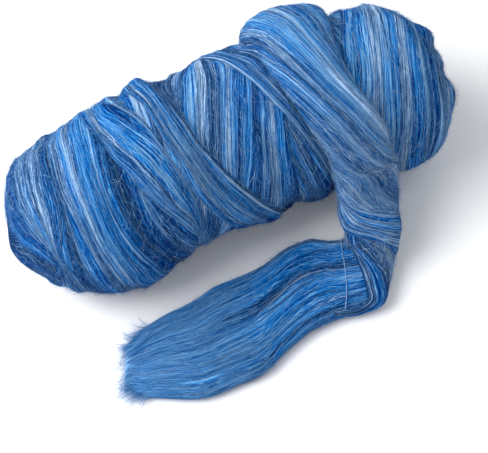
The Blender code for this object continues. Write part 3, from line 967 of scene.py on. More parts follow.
class Value:
    """A node's output in a Python expression: each operator adds one Math node."""

    def __init__(self, shader, socket):
        self.shader, self.socket = shader, socket

    def math(self, operation, *values):
        """Adds a Math node."""
        return self.shader.add("ShaderNodeMath", {"operation": operation}, *values)

    def __add__(self, other):
        return self.math("ADD", self, other)

    def __sub__(self, other):
        return self.math("SUBTRACT", self, other)

    def __mul__(self, other):
        return self.math("MULTIPLY", self, other)

    def __rsub__(self, other):
        return self.math("SUBTRACT", other, self)

    __radd__ = __add__
    __rmul__ = __mul__


class Shader:
    """A material's node tree, with one way to add a node."""

    def __init__(self, name):
        self.material = bpy.data.materials.new(name)
        self.material.use_nodes = True
        self.tree = self.material.node_tree
        self.tree.nodes.clear()

    def add(self, kind, options=None, *values, out=0, **named):
        """Adds a node and returns one of its outputs. Options are set before its sockets."""
        node = self.tree.nodes.new(kind)
        for key, option in (options or {}).items():
            if key == "stops":
                elements = node.color_ramp.elements
                while len(elements) < len(option):
                    elements.new(1.0)
                for element, (position, color) in zip(elements, option):
                    element.position = position
                    element.color = (*color, 1.0)
            else:
                setattr(node, key, option)
        sockets = dict(enumerate(values))
        sockets.update({key.replace("_", " "): value for key, value in named.items()})
        for key, value in sockets.items():
            if isinstance(value, Value):
                self.tree.links.new(value.socket, node.inputs[key])
            elif value is not None:
                node.inputs[key].default_value = value
        return Value(self, node.outputs[out]) if node.outputs else None

    def mix(self, share, first, second, blend="MIX"):
        """Mixes two colours."""
        options = {"data_type": "RGBA", "blend_type": blend}
        return self.add("ShaderNodeMix", options, share, None, None, None, None, None,
                        first, second, out=2)

    def streaks(self, fibres, across, along, detail=2.0, shift=0.0):
        """Noise drawn out along the fibres, with its grain in millimetres."""
        scaled = self.add("ShaderNodeVectorMath", {"operation": "MULTIPLY_ADD"}, fibres,
                          (1000.0 / across, 1000.0 / along, 1.0), (shift, shift, 0.0))
        return self.add("ShaderNodeTexNoise", {"noise_dimensions": "2D"}, Vector=scaled,
                        Scale=1.0, Detail=detail, Roughness=STREAK_ROUGHNESS)

    def leaning(self, fibres, lean):
        """The fibre map turned a little, for fibres that cross the rest."""
        return self.add("ShaderNodeVectorRotate", {"rotation_type": "Z_AXIS"}, fibres,
                        Angle=lean)

    def ramp(self, value, stops):
        """Colours at values between a ramp's stops."""
        return self.add("ShaderNodeValToRGB", {"stops": stops}, value)

    def rise(self, value, first, last, height=1.0):
        """0 up to the first value, and a height from the last one on."""
        return self.ramp(value, [(first, grey(0.0)), (last, grey(height))])

    def attribute(self, name):
        """A value that the mesh carries at its points."""
        return self.add("ShaderNodeAttribute", {"attribute_name": name}, out=2)

    def surface(self, **sockets):
        """The Principled shader and the material's output."""
        shader = self.add("ShaderNodeBsdfPrincipled", None, **sockets)
        self.add("ShaderNodeOutputMaterial", None, shader)
        return self.material


def grey(level):
    """A grey colour."""
    return (level, level, level)


STREAK_ROUGHNESS = 0.55
STREAK_DETAIL = 1.5
# Streaks of the dye along the fibres: grain across and along in millimetres, weight, and
# how far they lean from the fibres' run, in radians
STREAKS = {
    "wide": (14.0, 300.0, 0.8, 0.0),
    "zones": (6.0, 200.0, 1.0, 0.0),
    "streaks": (2.6, 140.0, 0.85, 0.01),
    "fine": (1.1, 100.0, 0.85, -0.01),
    "hairs": (0.52, 60.0, 1.4, 0.015),
    "fibres": (0.42, 36.0, 1.6, -0.03),
}
# Stray hairs that cross the fibres: lean in radians, width, length, and how well they show
STRAYS = [
    (0.12, 0.38, 12.0, 1.0),
    (-0.17, 0.38, 12.0, 1.0),
    (0.38, 0.36, 8.0, 0.45),
    (-0.50, 0.36, 8.0, 0.35),
]
STRAY_EDGES = (0.62, 0.73)
# Where each noise is taken from the pattern, so that no two run together
BEND_SHIFT = 3.0
STREAK_SHIFT = 11.0
FAMILY_SHIFT = 67.0
STRAY_SHIFT = 71.0
STRAY_SHIFT_STEP = 12.0
# Slow bends of all streaks: grain across and along in millimetres, and depth in metres
BEND_GRAIN = (10.0, 45.0)
BEND_DEPTH = (0.0008, 0.0, 0.0)
# The wool's tone without streaks, and the tone at which each shade of the two families stands
BASE_TONE = 0.405
CLEAR_SHADES = {"deep": 0.06, "dark": 0.24, "middle": 0.40, "sky": 0.56, "light": 0.72,
                "pale": 0.95}
GREYER_SHADES = {"ink": 0.06, "dusk": 0.24, "slate": 0.40, "lavender": 0.56, "mist": 0.72,
                 "cloud": 1.0}
# Streaks of the greyer family: their grain, how much a piece's greyness moves them, and the
# values at which they start and are full
FAMILY_GRAIN = (6.0, 200.0)
GREYNESS_WEIGHT = 0.14
FAMILY_EDGES = (0.44, 0.64)
# Wool that took no dye, past the palest shade: half of the tones at which it starts and is
# full, and how much lighter it is
UNDYED_EDGES = (0.67, 0.88)
UNDYED_GAIN = 0.9
# Painted shade: how much the creases, edges and grooves marked on the mesh darken the colour
PAINTED_CREASE_STRENGTH = 0.33
# Fine relief of the fibres: weight of each streak, strength, and depth in metres
BUMP_WEIGHTS = {"hairs": 0.8, "fibres": 0.5, "fine": 0.6}
BUMP_STRENGTH = 0.5
BUMP_DEPTH = 0.0002
# Wool is dull, and duller where its hairs are light
WOOL_ROUGHNESS = 0.75
HAIR_ROUGHNESS = 0.2
WOOL_SPECULAR = 0.03
# The single wools: place in the pattern, how much paler than the rest, and how well stray
# hairs show
STRAY_SHOWN = 0.38
WOOLS = {
    "core_wool": (5.0, 0.0, STRAY_SHOWN),
    "strand_wool": (71.0, 0.04, STRAY_SHOWN),
    "loose_wool": (130.0, 0.05, 0.5),
    "loose_fold_wool": (184.0, -0.26, 0.45),
    "loose_turn_wool": (187.0, -0.06, 0.45),
    "hair_wool": (310.0, 0.2, STRAY_SHOWN),
}
made_wools = {}


def make_wool(name, shift, pale=0.0, stray=STRAY_SHOWN):
    """Combed wool: dyed streaks of several widths along the fibres, with fine hairs.

    The dye runs from dark to pale in two families, a clear blue one and a greyer one. shift
    moves the streaks, pale lifts them towards the light shades, and stray sets how much the
    crossing hairs show. Painted shade darkens the colour where the mesh marks creases, edges
    and grooves, and for some wraps pale holds painted light and shade.
    """
    shader = Shader(name)
    fibres = shader.add("ShaderNodeUVMap", {"uv_map": "fibre"})
    bend = shader.streaks(fibres, *BEND_GRAIN, 1.0, shift + BEND_SHIFT)
    fibres = shader.add("ShaderNodeVectorMath", {"operation": "MULTIPLY_ADD"}, bend, BEND_DEPTH,
                        fibres)
    grain, spread = {}, 0.0
    for step, (title, (across, along, weight, lean)) in enumerate(STREAKS.items()):
        leaning = shader.leaning(fibres, lean) if lean else fibres
        grain[title] = shader.streaks(leaning, across, along, STREAK_DETAIL,
                                      shift + STREAK_SHIFT * step)
        spread = (grain[title] - 0.5) * weight + spread
    calm = shader.attribute("calm")
    tone = spread * (1.0 - calm) + shader.attribute("strand") + (BASE_TONE + pale)
    for step, (lean, across, along, shown) in enumerate(STRAYS):
        lines = shader.streaks(shader.leaning(fibres, lean), across, along, 1.0,
                               shift + STRAY_SHIFT + STRAY_SHIFT_STEP * step)
        tone = shader.rise(lines, *STRAY_EDGES, stray * shown) + tone
    clear, greyer = (
        shader.ramp(tone, [(at, getattr(tones(), shade)) for shade, at in family.items()])
        for family in (CLEAR_SHADES, GREYER_SHADES))
    family = shader.streaks(fibres, *FAMILY_GRAIN, 2.0, shift + FAMILY_SHIFT)
    family = family + shader.attribute("greyness") * GREYNESS_WEIGHT
    color = shader.mix(shader.rise(family, *FAMILY_EDGES), clear, greyer)
    undyed = shader.rise(tone * 0.5, *UNDYED_EDGES)
    # Painted shade: the colour is darkened where the mesh marks creases, edges and grooves, and undyed
    # wool is lighter
    shade = undyed * UNDYED_GAIN + (1.0 - shader.attribute("crease") * PAINTED_CREASE_STRENGTH)
    color = shader.mix(1.0, color, shade, "MULTIPLY")
    first, *others = (grain[title] * weight for title, weight in BUMP_WEIGHTS.items())
    normal = shader.add("ShaderNodeBump", None, Strength=BUMP_STRENGTH, Distance=BUMP_DEPTH,
                        Height=sum(others, first))
    return shader.surface(Base_Color=color, Normal=normal, Specular_IOR_Level=WOOL_SPECULAR,
                          Roughness=WOOL_ROUGHNESS + grain["hairs"] * HAIR_ROUGHNESS)


def wool(name):
    """One of the single wools, made when it is first asked for."""
    if name not in made_wools:
        made_wools[name] = make_wool(name, *WOOLS[name])
    return made_wools[name]


# ---------------- pieces of the roll

# Locks and strands of laid wool: sway in millimetres, rise, and how dark the painted shade in their
# creases is
LOCK_SWAY = 1.4
LOCK_RISE = 0.16
LOCK_PAINTED_SHADE = 0.65
RIDGE_SWAY = 0.8
RIDGE_RISE = 0.07
RIDGE_PAINTED_SHADE = 0.35
STRAND_TONE = 0.10
# Soft swells along a band: size across and along, and rise
SWELL_SIZES = (6.0, 40.0)
SWELL_RISE = 0.35
# How deep a band sinks under later ones, and how fully it is hidden where it is cut away
HIDDEN_DROP = 0.9
HIDDEN_CUT = 0.96
# How deep a band's ends sink, and over what length
END_DROP = 1.2
END_SLOPE = END_FADE / 2.0
# Painted shade along a band's rounded edges, where it meets the wool beside it
EDGE_PAINTED_SHADE = 1.3
# Painted shade: the wraps are darker underneath the roll, from this angle down
UNDERSIDE_PAINTED_SHADE = -0.16
UNDERSIDE_ANGLE = 30.0
STRIPE_SKIRT = 1.8
STRIPE_DEPTH = 0.95
# Spacing of each kind of band's grid, across and along
HOOP_GRID = (0.5, 3.0)
LOOP_GRID = (0.4, 1.6)
WRAP_GRID = (0.34, 2.2)
# The bands' wools: first place in the pattern and step to the next
HOOP_PATTERN = (0.0, 7.0)
LOOP_PATTERN = (400.0, 7.0)
WRAP_PATTERN = (500.0, 13.0)
# Painted shade: the loops over the domed ends are darker than the other bands
LOOP_PAINTED_SHADE = -0.46
CORE_RINGS = 90
CORE_SEGMENTS = 110
# Painted shade over the whole core, which shows only deep in the gaps between the wraps
CORE_PAINTED_SHADE = 0.6
# Single strands on the wraps. Across the wrap: range, share of them that lie at an edge, and
# how far those stray. Along it: start, run and last place. Then drift and sway in millimetres,
# waves, height, dip under later wraps and at the ends, radius and tone
STRAND_STEPS = 20
STRAND_ACROSS = (0.02, 0.98)
EDGE_STRANDS = 0.25
EDGE_STRAY = 0.03
STRAND_START = (0.02, 0.5)
STRAND_RUN = (0.25, 0.7)
STRAND_LAST = 0.97
STRAND_DRIFT = 1.8
STRAND_BENDS = (0.2, 0.9)
STRAND_WAVES = (1.0, 3.0)
STRAND_LIFT = (0.2, 0.6)
STRAND_HIDDEN_DROP = 2.0
STRAND_END_DROP = 1.5
STRAND_RADIUS = (0.06, 0.17)
STRAND_TONES = (-0.12, 0.16)
STRAND_GROUND_GAP = 0.2
# How steeply a strand rises at its ends, and its thickness there as a share of the full one
STRAND_SLOPE = 8.0
THIN_END = 0.35
STRAND_SIDES = 3
# Places of the two groups of strands in the fibre map, in millimetres
WRAP_STRAND_SHIFT = 900.0
LOOSE_STRAND_SHIFT = 20000.0


def settings():
    """The roving's sizes and counts."""
    return bpy.context.scene.roving_form


def tones():
    """The roving's dyed shades."""
    return bpy.context.scene.roving_tones


def ride_as(obj, slot, *nodes):
    """Attaches a piece of the roving to the root body and hides the solids it stands for; slot is not
    used.
    """
    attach(obj, "root")
    if nodes:
        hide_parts(*nodes)
    return obj


def stripe_edge(off):
    """1 inside a stripe and 0 outside its skirt, at distances in half widths."""
    return smooth_step((STRIPE_SKIRT - off) / STRIPE_SKIRT)


def lay_stripes(stripes, across):
    """The tone and the greyness that a band's stripes add at shares of its width."""
    tone = np.zeros(across.shape)
    greyness = np.zeros(across.shape)
    for middle, half, light, dull in stripes:
        cover = stripe_edge(np.abs(across - middle) / half)
        tone = tone + STRIPE_DEPTH * light * cover
        greyness = greyness + dull * cover
    return tone, greyness


def fibre_relief(rng, across, along, width, girth=None):
    """Height of the locks and strands of laid wool, with each strand's tone and the painted shade of the
    creases between them.
    """
    form = settings()
    lock, _ = strand_relief(rng, across, along, width, form.lock_width / MM, LOCK_SWAY, girth)
    ridge, top = strand_relief(rng, across, along, width, form.strand_width / MM, RIDGE_SWAY,
                               girth)
    tone = STRAND_TONE * rng.uniform(-0.5, 0.5, top.max() + 1)[top]
    # Painted shade: the creases between the locks and strands are marked to be darkened
    crease = LOCK_PAINTED_SHADE * (1.0 - lock) ** 2 + RIDGE_PAINTED_SHADE * (1.0 - ridge) ** 2
    return LOCK_RISE * lock + RIDGE_RISE * ridge, tone, crease


def wind_band(name, number, rng, material, grid):
    """One band of the roll as a finely ridged strip, with the stripes of its dye, and painted shade in
    its creases, over its edges and on the roll's underside.
    """
    band = ALL_BANDS[number]
    columns, rows = int(band.width / grid[0]), int(band.length / grid[1])
    across = np.broadcast_to(np.linspace(0.0, 1.0, columns), (rows, columns))
    along = np.broadcast_to(np.linspace(0.0, 1.0, rows)[:, None], (rows, columns))
    place, angle, spread = band.at(across, along)
    fibre_across, fibre_along = across * band.width, along * band.length
    relief, tone, crease = fibre_relief(rng, fibre_across, fibre_along, band.width)
    swell = soft_noise(rng, fibre_across, fibre_along, *SWELL_SIZES)
    crown = band.cover(place, angle)
    height = wound_height(place, angle, number + 1)
    height = height + crown * spread * (relief + SWELL_RISE * swell)
    hidden = later_cover(place, angle, number + 1)
    height = height - HIDDEN_DROP * hidden
    height[:, [0, -1]] -= TUCK
    if not band.closed:
        height[[0, -1], :] -= TUCK
        to_end = np.minimum(fibre_along, band.length - fibre_along)
        height = height - END_DROP * (1.0 - smooth_step(to_end / END_SLOPE))
    point, outward = skin_and_normal(place, angle)
    points = keep_above(point + outward * (height - under_skin(place))[..., None])
    light, greyness = lay_stripes(STRIPES.get(name.removeprefix("wrap_"), []), across)
    # Painted shade: the wraps' colour darkens on the roll's underside, carried in the strand attribute
    # with the strands' tone and the stripes
    under = UNDERSIDE_PAINTED_SHADE * smooth_step((UNDERSIDE_ANGLE - angle) / UNDERSIDE_ANGLE / 2.0)
    # Painted shade: the band darkens over its rounded edges
    crease = crease + EDGE_PAINTED_SHADE * (1.0 - crown)
    values = {"strand": tone + light + under, "crease": crease, "greyness": greyness}
    return make_patch(name, points, outward, fibre_across, fibre_along, values, material,
                      hidden < HIDDEN_CUT)


def wind_bands(rng, first, bands, pattern, grid):
    """Bands laid one after the other, each given by its name, its wool's, and how pale it is, which for
    some bands holds painted light and shade.
    """
    start, step = pattern
    for number, (name, dye, pale) in enumerate(bands):
        material = make_wool(dye, start + step * number, pale)
        ride_as(wind_band(name, first + number, rng, material, grid), "wound_wool", "wound_roll")


def make_core():
    """The closed form under the wraps."""
    place = np.linspace(0.0, MERIDIAN_LENGTH, CORE_RINGS)[1:-1, None]
    angle = -90.0 + 360.0 * np.arange(CORE_SEGMENTS + 1) / CORE_SEGMENTS
    points, outward = skin_and_normal(place, angle[None, :-1])
    points = keep_above(points - outward * (under_skin(place) + 0.0 * angle[:-1])[..., None])
    across = np.broadcast_to(place, (len(place), len(angle)))
    along = np.broadcast_to(np.radians(angle) * MEAN_RADIUS, across.shape)
    # Painted shade: the core's colour is darkened all over
    values = {"crease": np.full(points.shape[:2], CORE_PAINTED_SHADE)}
    return make_closed("wound_core", points, across, along, values, wool("core_wool"))


def strand_shares(steps, slope):
    """Shares along strands, and how fully they have risen there."""
    share = np.linspace(0.0, 1.0, steps)
    return share, smooth_step(np.minimum(share, 1.0 - share) * slope)


def strand_radii(rng, limits, count, ends):
    """Radii along strands, thinner towards their ends."""
    return draw_column(rng, limits, count) * (THIN_END + (1.0 - THIN_END) * ends)


def make_roll_strands(rng):
    """Single strands that stand a little proud of the wraps and stray from their run."""
    count = int(settings().strands_per_wrap)
    share, ends = strand_shares(STRAND_STEPS, STRAND_SLOPE)
    paths, radii, tone = [], [], []
    for number, (name, band) in enumerate(WRAP_BANDS.items(), FIRST_WRAP + 1):
        across = rng.uniform(*STRAND_ACROSS, count)
        edge = rng.uniform(0.0, 1.0, count) < EDGE_STRANDS
        across = np.where(edge, np.round(across) + rng.uniform(-EDGE_STRAY, EDGE_STRAY, count),
                          across)
        start = rng.uniform(*STRAND_START, count)
        finish = np.minimum(STRAND_LAST, start + rng.uniform(*STRAND_RUN, count))
        along = start[:, None] + (finish - start)[:, None] * share
        drift = rng.normal(0.0, STRAND_DRIFT, (count, 1)) * (share - 0.5)
        bend = draw_column(rng, STRAND_BENDS, count)
        turn = along * draw_column(rng, STRAND_WAVES, count) + draw_column(rng, (0.0, 1.0), count)
        sway = bend * np.sin(2.0 * pi * turn)
        placed = np.clip(across[:, None] + (drift + sway) / band.width, 0.0, 1.0)
        place, angle, _ = band.at(placed, along)
        height = wound_height(place, angle, number) + draw_column(rng, STRAND_LIFT, count)
        height = height - STRAND_HIDDEN_DROP * later_cover(place, angle, number)
        height = height - STRAND_END_DROP * (1.0 - ends) - under_skin(place)
        point, outward = skin_and_normal(place, angle)
        paths.append(keep_above(point + outward * height[..., None], STRAND_GROUND_GAP))
        radii.append(strand_radii(rng, STRAND_RADIUS, count, ends))
        light, _ = lay_stripes(STRIPES[name], across)
        tone.append(light + rng.uniform(*STRAND_TONES, count))
    return make_tubes("wrap_strands", *map(np.concatenate, (paths, radii, tone)),
                      wool("strand_wool"), STRAND_SIDES, WRAP_STRAND_SHIFT)


# ---------------- the loose end

# A middling section of the loose end, to measure its girth by: half width, crown and belly
HALF_SECTION = (22.0, 12.0, 4.5)
LOOSE_GIRTH_STEPS = 720
LOOSE_LENGTH_STEPS = 1200
# How far ahead and aside the skin's direction is read, in rows and degrees
SKIN_AHEAD = 0.08
SKIN_ASIDE = 1.5
# The sheet's rows, and its columns between angles, closer where it shows
SHEET_ROWS = 240
SHEET_START = 0.04
CUT_ROW = 28.5
SHEET_COLUMNS = [(-90, -25, 20), (-25, 205, 216), (205, 270, 20)]
# Locks and tufts of the sheet: how many round it, length and rise; the rows in which they set
# in; and the share of them left at the tip
LOCKS = (18, 60.0, 0.7)
TUFTS = (48, 30.0, 0.25)
LOCKS_FROM_ROW = 4.0
LOCKS_RUN_IN = 6.0
TIP_RELIEF = 0.3
TIP_RELIEF_ROWS = 3.0
# Where the drape folds over itself: rows and angles of the upper layer's edge
STEP_ROWS = [2.0, 4.2, 5.0, 5.6, 6.2, 6.6, 7.4]
STEP_ANGLES = [94.0, 84.0, 75.0, 63.0, 47.0, 26.0, 0.0]
STEP_RISE = 1.3
STEP_FADE_ROWS = 1.5
# The upper layer does not reach round the left edge, past this angle
STEP_LAST_ANGLE = 200.0
# Stripes of the dye along the loose end, with two dark stripes of painted shade along the main
# grooves: middle and half width in shares of the girth, first and last row, lightness, and greyness
LOOSE_STRIPES = [
    (0.656, 0.024, 6.1, 13.0, 1.6, 3.4),
    (0.630, 0.018, 6.0, 11.0, 0.05, 0.4),
    (0.5, 0.5, 3.5, 11.0, 0.0, -0.7),
    (0.70, 0.03, 4.0, 11.0, 0.06, 0.3),
    (0.75, 0.03, 2.0, 10.0, 0.05, 0.0),
    (0.85, 0.03, 2.0, 11.0, -0.05, 0.6),
    (0.925, 0.06, 4.0, 11.0, 0.10, 0.0),
    (0.035, 0.02, 6.0, 12.0, -0.20, 0.0),
    (0.12, 0.09, 6.5, 15.0, 0.02, -1.0),
    (0.5, 0.5, 10.0, 17.5, 0.05, 0.9),
    (0.5, 0.5, 17.0, 30.0, -0.04, -1.6),
    (0.83, 0.03, 17.0, 25.0, 0.02, 0.6),
    (0.745, 0.05, 17.0, 27.0, -0.08, -1.0),
    # Painted shade: a dark stripe along the main groove at 0.706
    (0.70, 0.016, 18.5, 27.5, -0.45, 0.0),
    (0.61, 0.06, 18.0, 27.0, 0.06, -0.6),
    (0.52, 0.03, 18.0, 26.0, 0.04, 0.8),
    # Painted shade: a dark stripe along the groove at 0.472
    (0.475, 0.016, 18.5, 27.5, -0.40, 0.0),
    (0.455, 0.012, 19.0, 27.0, 0.25, 0.8),
]
STRIPE_FADE_ROWS = 1.5
# Narrow grooves between the locks of the laid stretch, in the same way, with their depth
LOCK_GROOVES = [
    (0.706, 0.016, 18.0, 28.4, 1.3),
    (0.472, 0.015, 18.0, 28.4, 1.1),
    (0.780, 0.009, 20.0, 28.4, 0.5),
    (0.640, 0.009, 19.0, 27.5, 0.5),
    (0.560, 0.009, 20.0, 28.4, 0.6),
    (0.400, 0.010, 19.0, 27.0, 0.5),
]
# Painted shade in the grooves of the laid stretch, for each millimetre of their depth
GROOVE_PAINTED_SHADE = 0.8
# The tip grows lighter and clearer from this row on
TIP_FIRST_ROW = 22.0
TIP_LIGHT = 0.50
TIP_GREYNESS = -1.4
# How far the streaks fade out along the loose end, row by row
CALM_ROWS = [0.0, 10.0, 16.0, 19.0, 24.0, 28.5]
CALM_SHARES = [0.0, 0.0, 0.0, 0.22, 0.3, 0.4]
# Layers over the loose end: rows and columns, shares of their width and length in which they
# rise from the wool below, how far they sink behind, how soon their relief sets in, share of
# the strands' tone, greyness, and the rise of each
LAYER_GRID = (64, 100)
LAYER_BACK = 0.6
LAYER_START = 0.12
LAYER_FINISH = 0.15
LAYER_SINK = 0.5
LAYER_FRINGE = 3.0
LAYER_TONE = 0.7
LAYER_GREYNESS = 0.6
FOLD_RISE = 1.4
TURN_RISE = 1.7
# Their guiding fibres from the free edge back, each a list of rows and angles
TURN_FIBRES = [
    [(12.6, 196), (13.6, 176), (14.3, 148), (14.55, 112), (14.8, 72), (15.15, 34), (15.6, -4),
     (16, -44)],
    [(11.6, 184), (12.5, 160), (13.25, 132), (13.6, 100), (13.85, 66), (14.1, 30), (14.4, -6),
     (14.8, -44)],
    [(10.8, 176), (11.7, 156), (12.5, 126), (12.9, 96), (13.2, 62), (13.45, 28), (13.7, -8),
     (14, -44)],
    [(10, 168), (10.9, 148), (11.7, 118), (12.1, 88), (12.4, 56), (12.6, 24), (12.8, -8),
     (13, -44)],
]
FOLD_FIBRES = [
    [(13.8, 160), (15.2, 146), (16.8, 130), (18.1, 95), (18.45, 62), (18.7, 32), (19.6, 24),
     (21.5, 34)],
    [(13.7, 140), (14.9, 122), (16.2, 104), (17.2, 80), (17.9, 52), (18.3, 20), (19.2, 4),
     (21.5, 14)],
    [(13.6, 124), (14.4, 110), (15.4, 92), (16.4, 64), (17.2, 22), (17.9, 0), (19, -14),
     (21.5, -6)],
    [(13.6, 108), (14.2, 98), (14.9, 82), (15.7, 55), (16.6, 8), (17.3, -10), (18.6, -26),
     (21.5, -24)],
    [(13.8, 80), (14.1, 66), (14.6, 44), (15.3, 16), (16.1, -12), (17, -28), (18.5, -40),
     (21.5, -40)],
]
# Strands on the loose end: first row, rows run, rows of a wave, its depth and the drift in
# millimetres, height, radius, and how steeply they rise at their ends
LOOSE_STRAND_STEPS = 44
LOOSE_STRAND_START = (1.0, 22.0)
LOOSE_STRAND_RUN = (3.0, 10.0)
LOOSE_STRAND_WAVE = (2.0, 8.0)
LOOSE_STRAND_BENDS = (0.2, 1.6)
LOOSE_STRAND_DRIFT = 3.0
LOOSE_STRAND_LIFT = (0.3, 0.9)
LOOSE_STRAND_RADIUS = (0.06, 0.16)
LOOSE_STRAND_SLOPE = 9.0
# Wisps past the tip: angles, rows where they start and leave the wool, least length past it,
# what is added and the power that keeps it short, spread and bend as shares of the length,
# share laid on the wool, height there, fall, least height, lift, radius, thinning and tones
WISP_STEPS = 12
WISP_ANGLES = (-4.0, 184.0)
WISP_START = (23.5, 27.6)
WISP_LEAVE = (27.6, 28.4)
WISP_LEAST = 2.0
WISP_BEYOND = 9.0
WISP_POWER = 1.8
WISP_SPREAD = 0.35
WISP_BEND = 0.5
WISP_LAID = 0.5
WISP_HEIGHT = 0.5
WISP_FALL = 0.7
WISP_GAP = 0.2
WISP_LIFT = (0.0, 1.6)
WISP_RADIUS = (0.06, 0.14)
WISP_THINNING = 0.6
WISP_TONES = (0.1, 0.35)
# The tie thread's plies: steps, turns round each other, height over the wool, offset from
# their middle, radius, sides, and their finish
PLY_STEPS = 140
PLY_TURNS = 22.0
PLY_HEIGHT = 1.0
PLY_OFFSET = 0.17
PLY_RADIUS = 0.18
PLY_SIDES = 6
PLY_GRAIN = (0.25, 3.0)
PLY_EDGES = (0.35, 0.7)
PLY_ROUGHNESS = 0.6
PLY_BUMP = 0.4
PLY_BUMP_DEPTH = 0.0001
# Hairs that rise off the wool: steps, reach, share of the full rise, that rise, slant, curl,
# share that arch, power by which the others lift, radius, thinning, tones and least height
HAIR_STEPS = 6
HAIR_REACH = (2.0, 10.0)
HAIR_RISE = (0.25, 1.0)
HAIR_HEIGHT = 2.6
HAIR_SLANT = 0.5
HAIR_CURL = 0.35
ARCHED_HAIRS = 0.4
HAIR_LIFT_POWER = 1.4
HAIR_RADIUS = (0.04, 0.085)
HAIR_THINNING = 0.7
HAIR_TONES = (-0.1, 0.2)
HAIR_GROUND_GAP = 0.1
# Where hairs stand on the roll: free length at its tips, angles, and height over the wraps
ROLL_HAIR_MARGIN = 10.0
ROLL_HAIR_ANGLES = (-45.0, 225.0)
ROLL_HAIR_BASE = 0.2
# Where hairs stand on the loose end: rows, shares of the girth, height, the first row that
# they reach, and a row's length
LOOSE_HAIR_ROWS = (0.5, CUT_ROW - 0.3)
LOOSE_HAIR_SHARES = (0.14, 0.86)
LOOSE_HAIR_BASE = 0.3
LOOSE_HAIR_FIRST = 0.2
ROW_LENGTH = 14.0
# The twist's hairs: rows, share of all, and how much lighter and duller they are
TWIST_HAIR_ROWS = (8.5, 17.0)
TWIST_HAIRS = 0.4
TWIST_HAIR_LIGHT = 0.3
TWIST_HAIR_GREYNESS = 1.0
# Greyness of the hairs on the laid stretch, which keep to the clear blues, and the rows in
# which it sets in
CLEAR_HAIRS = -1.8
CLEAR_FROM_ROW = 17.0
CLEAR_RUN_IN = 2.0


def section_arcs():
    """Angles round the loose end and the share of its girth reached at each."""
    angle = np.linspace(-90.0, 270.0, LOOSE_GIRTH_STEPS + 1)
    turn = np.radians(angle)
    half, crown, belly = HALF_SECTION
    across = half * signed_power(np.cos(turn), 2.0 / SECTION_ROUNDNESS)
    over = signed_power(np.sin(turn), 2.0 / SECTION_ROUNDNESS)
    over = over * np.where(over > 0.0, crown, belly)
    length = running_total(np.hypot(np.diff(across), np.diff(over)))
    return angle, length / length[-1], length[-1]


SECTION_ANGLE, SECTION_SHARE, LOOSE_GIRTH = section_arcs()
LOOSE_STATIONS = np.linspace(0.0, LAST_ROW, LOOSE_LENGTH_STEPS)
LOOSE_PATH = loose_frame(LOOSE_STATIONS)[0]
LOOSE_LENGTHS = running_total(np.linalg.norm(np.diff(LOOSE_PATH, axis=0), axis=-1))


def stripe_cover(row, share, middle, half, first, last):
    """How far a stripe covers the loose end's skin at rows and shares of its girth."""
    off = np.abs((share - middle + 0.5) % 1.0 - 0.5)
    ends = smooth_step(np.minimum(row - first, last - row) / STRIPE_FADE_ROWS)
    return stripe_edge(off / half) * ends


def loose_stripes(row, share):
    """The tone and the greyness of the loose end's stripes, at shares of its girth."""
    tip = smooth_step((row - TIP_FIRST_ROW) / (CUT_ROW - TIP_FIRST_ROW))
    tone = TIP_LIGHT * tip + 0.0 * share
    greyness = TIP_GREYNESS * tip + 0.0 * share
    for *place, light, dull in LOOSE_STRIPES:
        cover = stripe_cover(row, share, *place)
        tone = tone + STRIPE_DEPTH * light * cover
        greyness = greyness + dull * cover
    return tone, greyness


def groove_depth(row, share):
    """How deep the grooves between the locks are, at shares of the loose end's girth."""
    return sum(deep * stripe_cover(row, share, *place) for *place, deep in LOCK_GROOVES)


def girth_angle(share):
    """The angle round the loose end at a share of its girth."""
    return np.interp(share % 1.0, SECTION_SHARE, SECTION_ANGLE)


def loose_skin(row, angle):
    """Points of the loose end with their outward directions."""
    point = loose_point(row, angle)
    along = loose_point(row + SKIN_AHEAD, angle) - point
    around = loose_point(row, angle + SKIN_ASIDE) - point
    return point, unit(np.cross(around, along))


def step_height(row, angle):
    """Height of the drape's upper layer, left of its folded edge."""
    edge = np.interp(row, STEP_ROWS, STEP_ANGLES)
    inside = turn_between(angle, edge) * radians(1.0) * HALF_SECTION[0]
    fade = smooth_step((STEP_ROWS[-1] - row) / STEP_FADE_ROWS)
    return STEP_RISE * edge_round(np.where(angle > STEP_LAST_ANGLE, 0.0, inside)) * fade


def make_loose_end(rng):
    """The loose end as one closed, finely ridged sheet of fibres."""
    angle = [np.linspace(first, last, columns)[:-1] for first, last, columns in SHEET_COLUMNS]
    angle = np.concatenate([*angle, [SHEET_COLUMNS[-1][1]]])
    share = np.interp(angle, SECTION_ANGLE, SECTION_SHARE)
    row = np.linspace(SHEET_START, CUT_ROW, SHEET_ROWS)[:, None]
    across = (share[None, :] + twist(row)) * LOOSE_GIRTH
    along = np.interp(row, LOOSE_STATIONS, LOOSE_LENGTHS) + 0.0 * across
    inner, run = across[:, :-1] % LOOSE_GIRTH, along[:, :-1]
    relief, tone, crease = fibre_relief(rng, inner, run, LOOSE_GIRTH, LOOSE_GIRTH)
    swell = 0.0
    for count, length, rise in (LOCKS, TUFTS):
        swell = swell + rise * soft_noise(rng, inner, run, LOOSE_GIRTH / count, length, count)
    relief = relief + swell * smooth_step((row - LOCKS_FROM_ROW) / LOCKS_RUN_IN)
    relief = relief * (TIP_RELIEF + (1.0 - TIP_RELIEF)
                       * smooth_step((LAST_ROW - row) / TIP_RELIEF_ROWS))
    groove = groove_depth(row, inner / LOOSE_GIRTH)
    height = relief + step_height(row, angle[None, :-1]) - groove
    point, outward = loose_skin(row, angle[None, :-1])
    points = keep_above(point + outward * height[..., None])
    light, greyness = loose_stripes(row, inner / LOOSE_GIRTH)
    calm = np.interp(row, CALM_ROWS, CALM_SHARES) + 0.0 * inner
    # Painted shade in the creases, less where the streaks are calm, and in the grooves
    values = {"strand": tone + light, "crease": crease * (1.0 - calm) + GROOVE_PAINTED_SHADE * groove,
              "greyness": greyness, "calm": calm}
    return make_closed("loose_end_sheet", points, across, along, values, wool("loose_wool"))


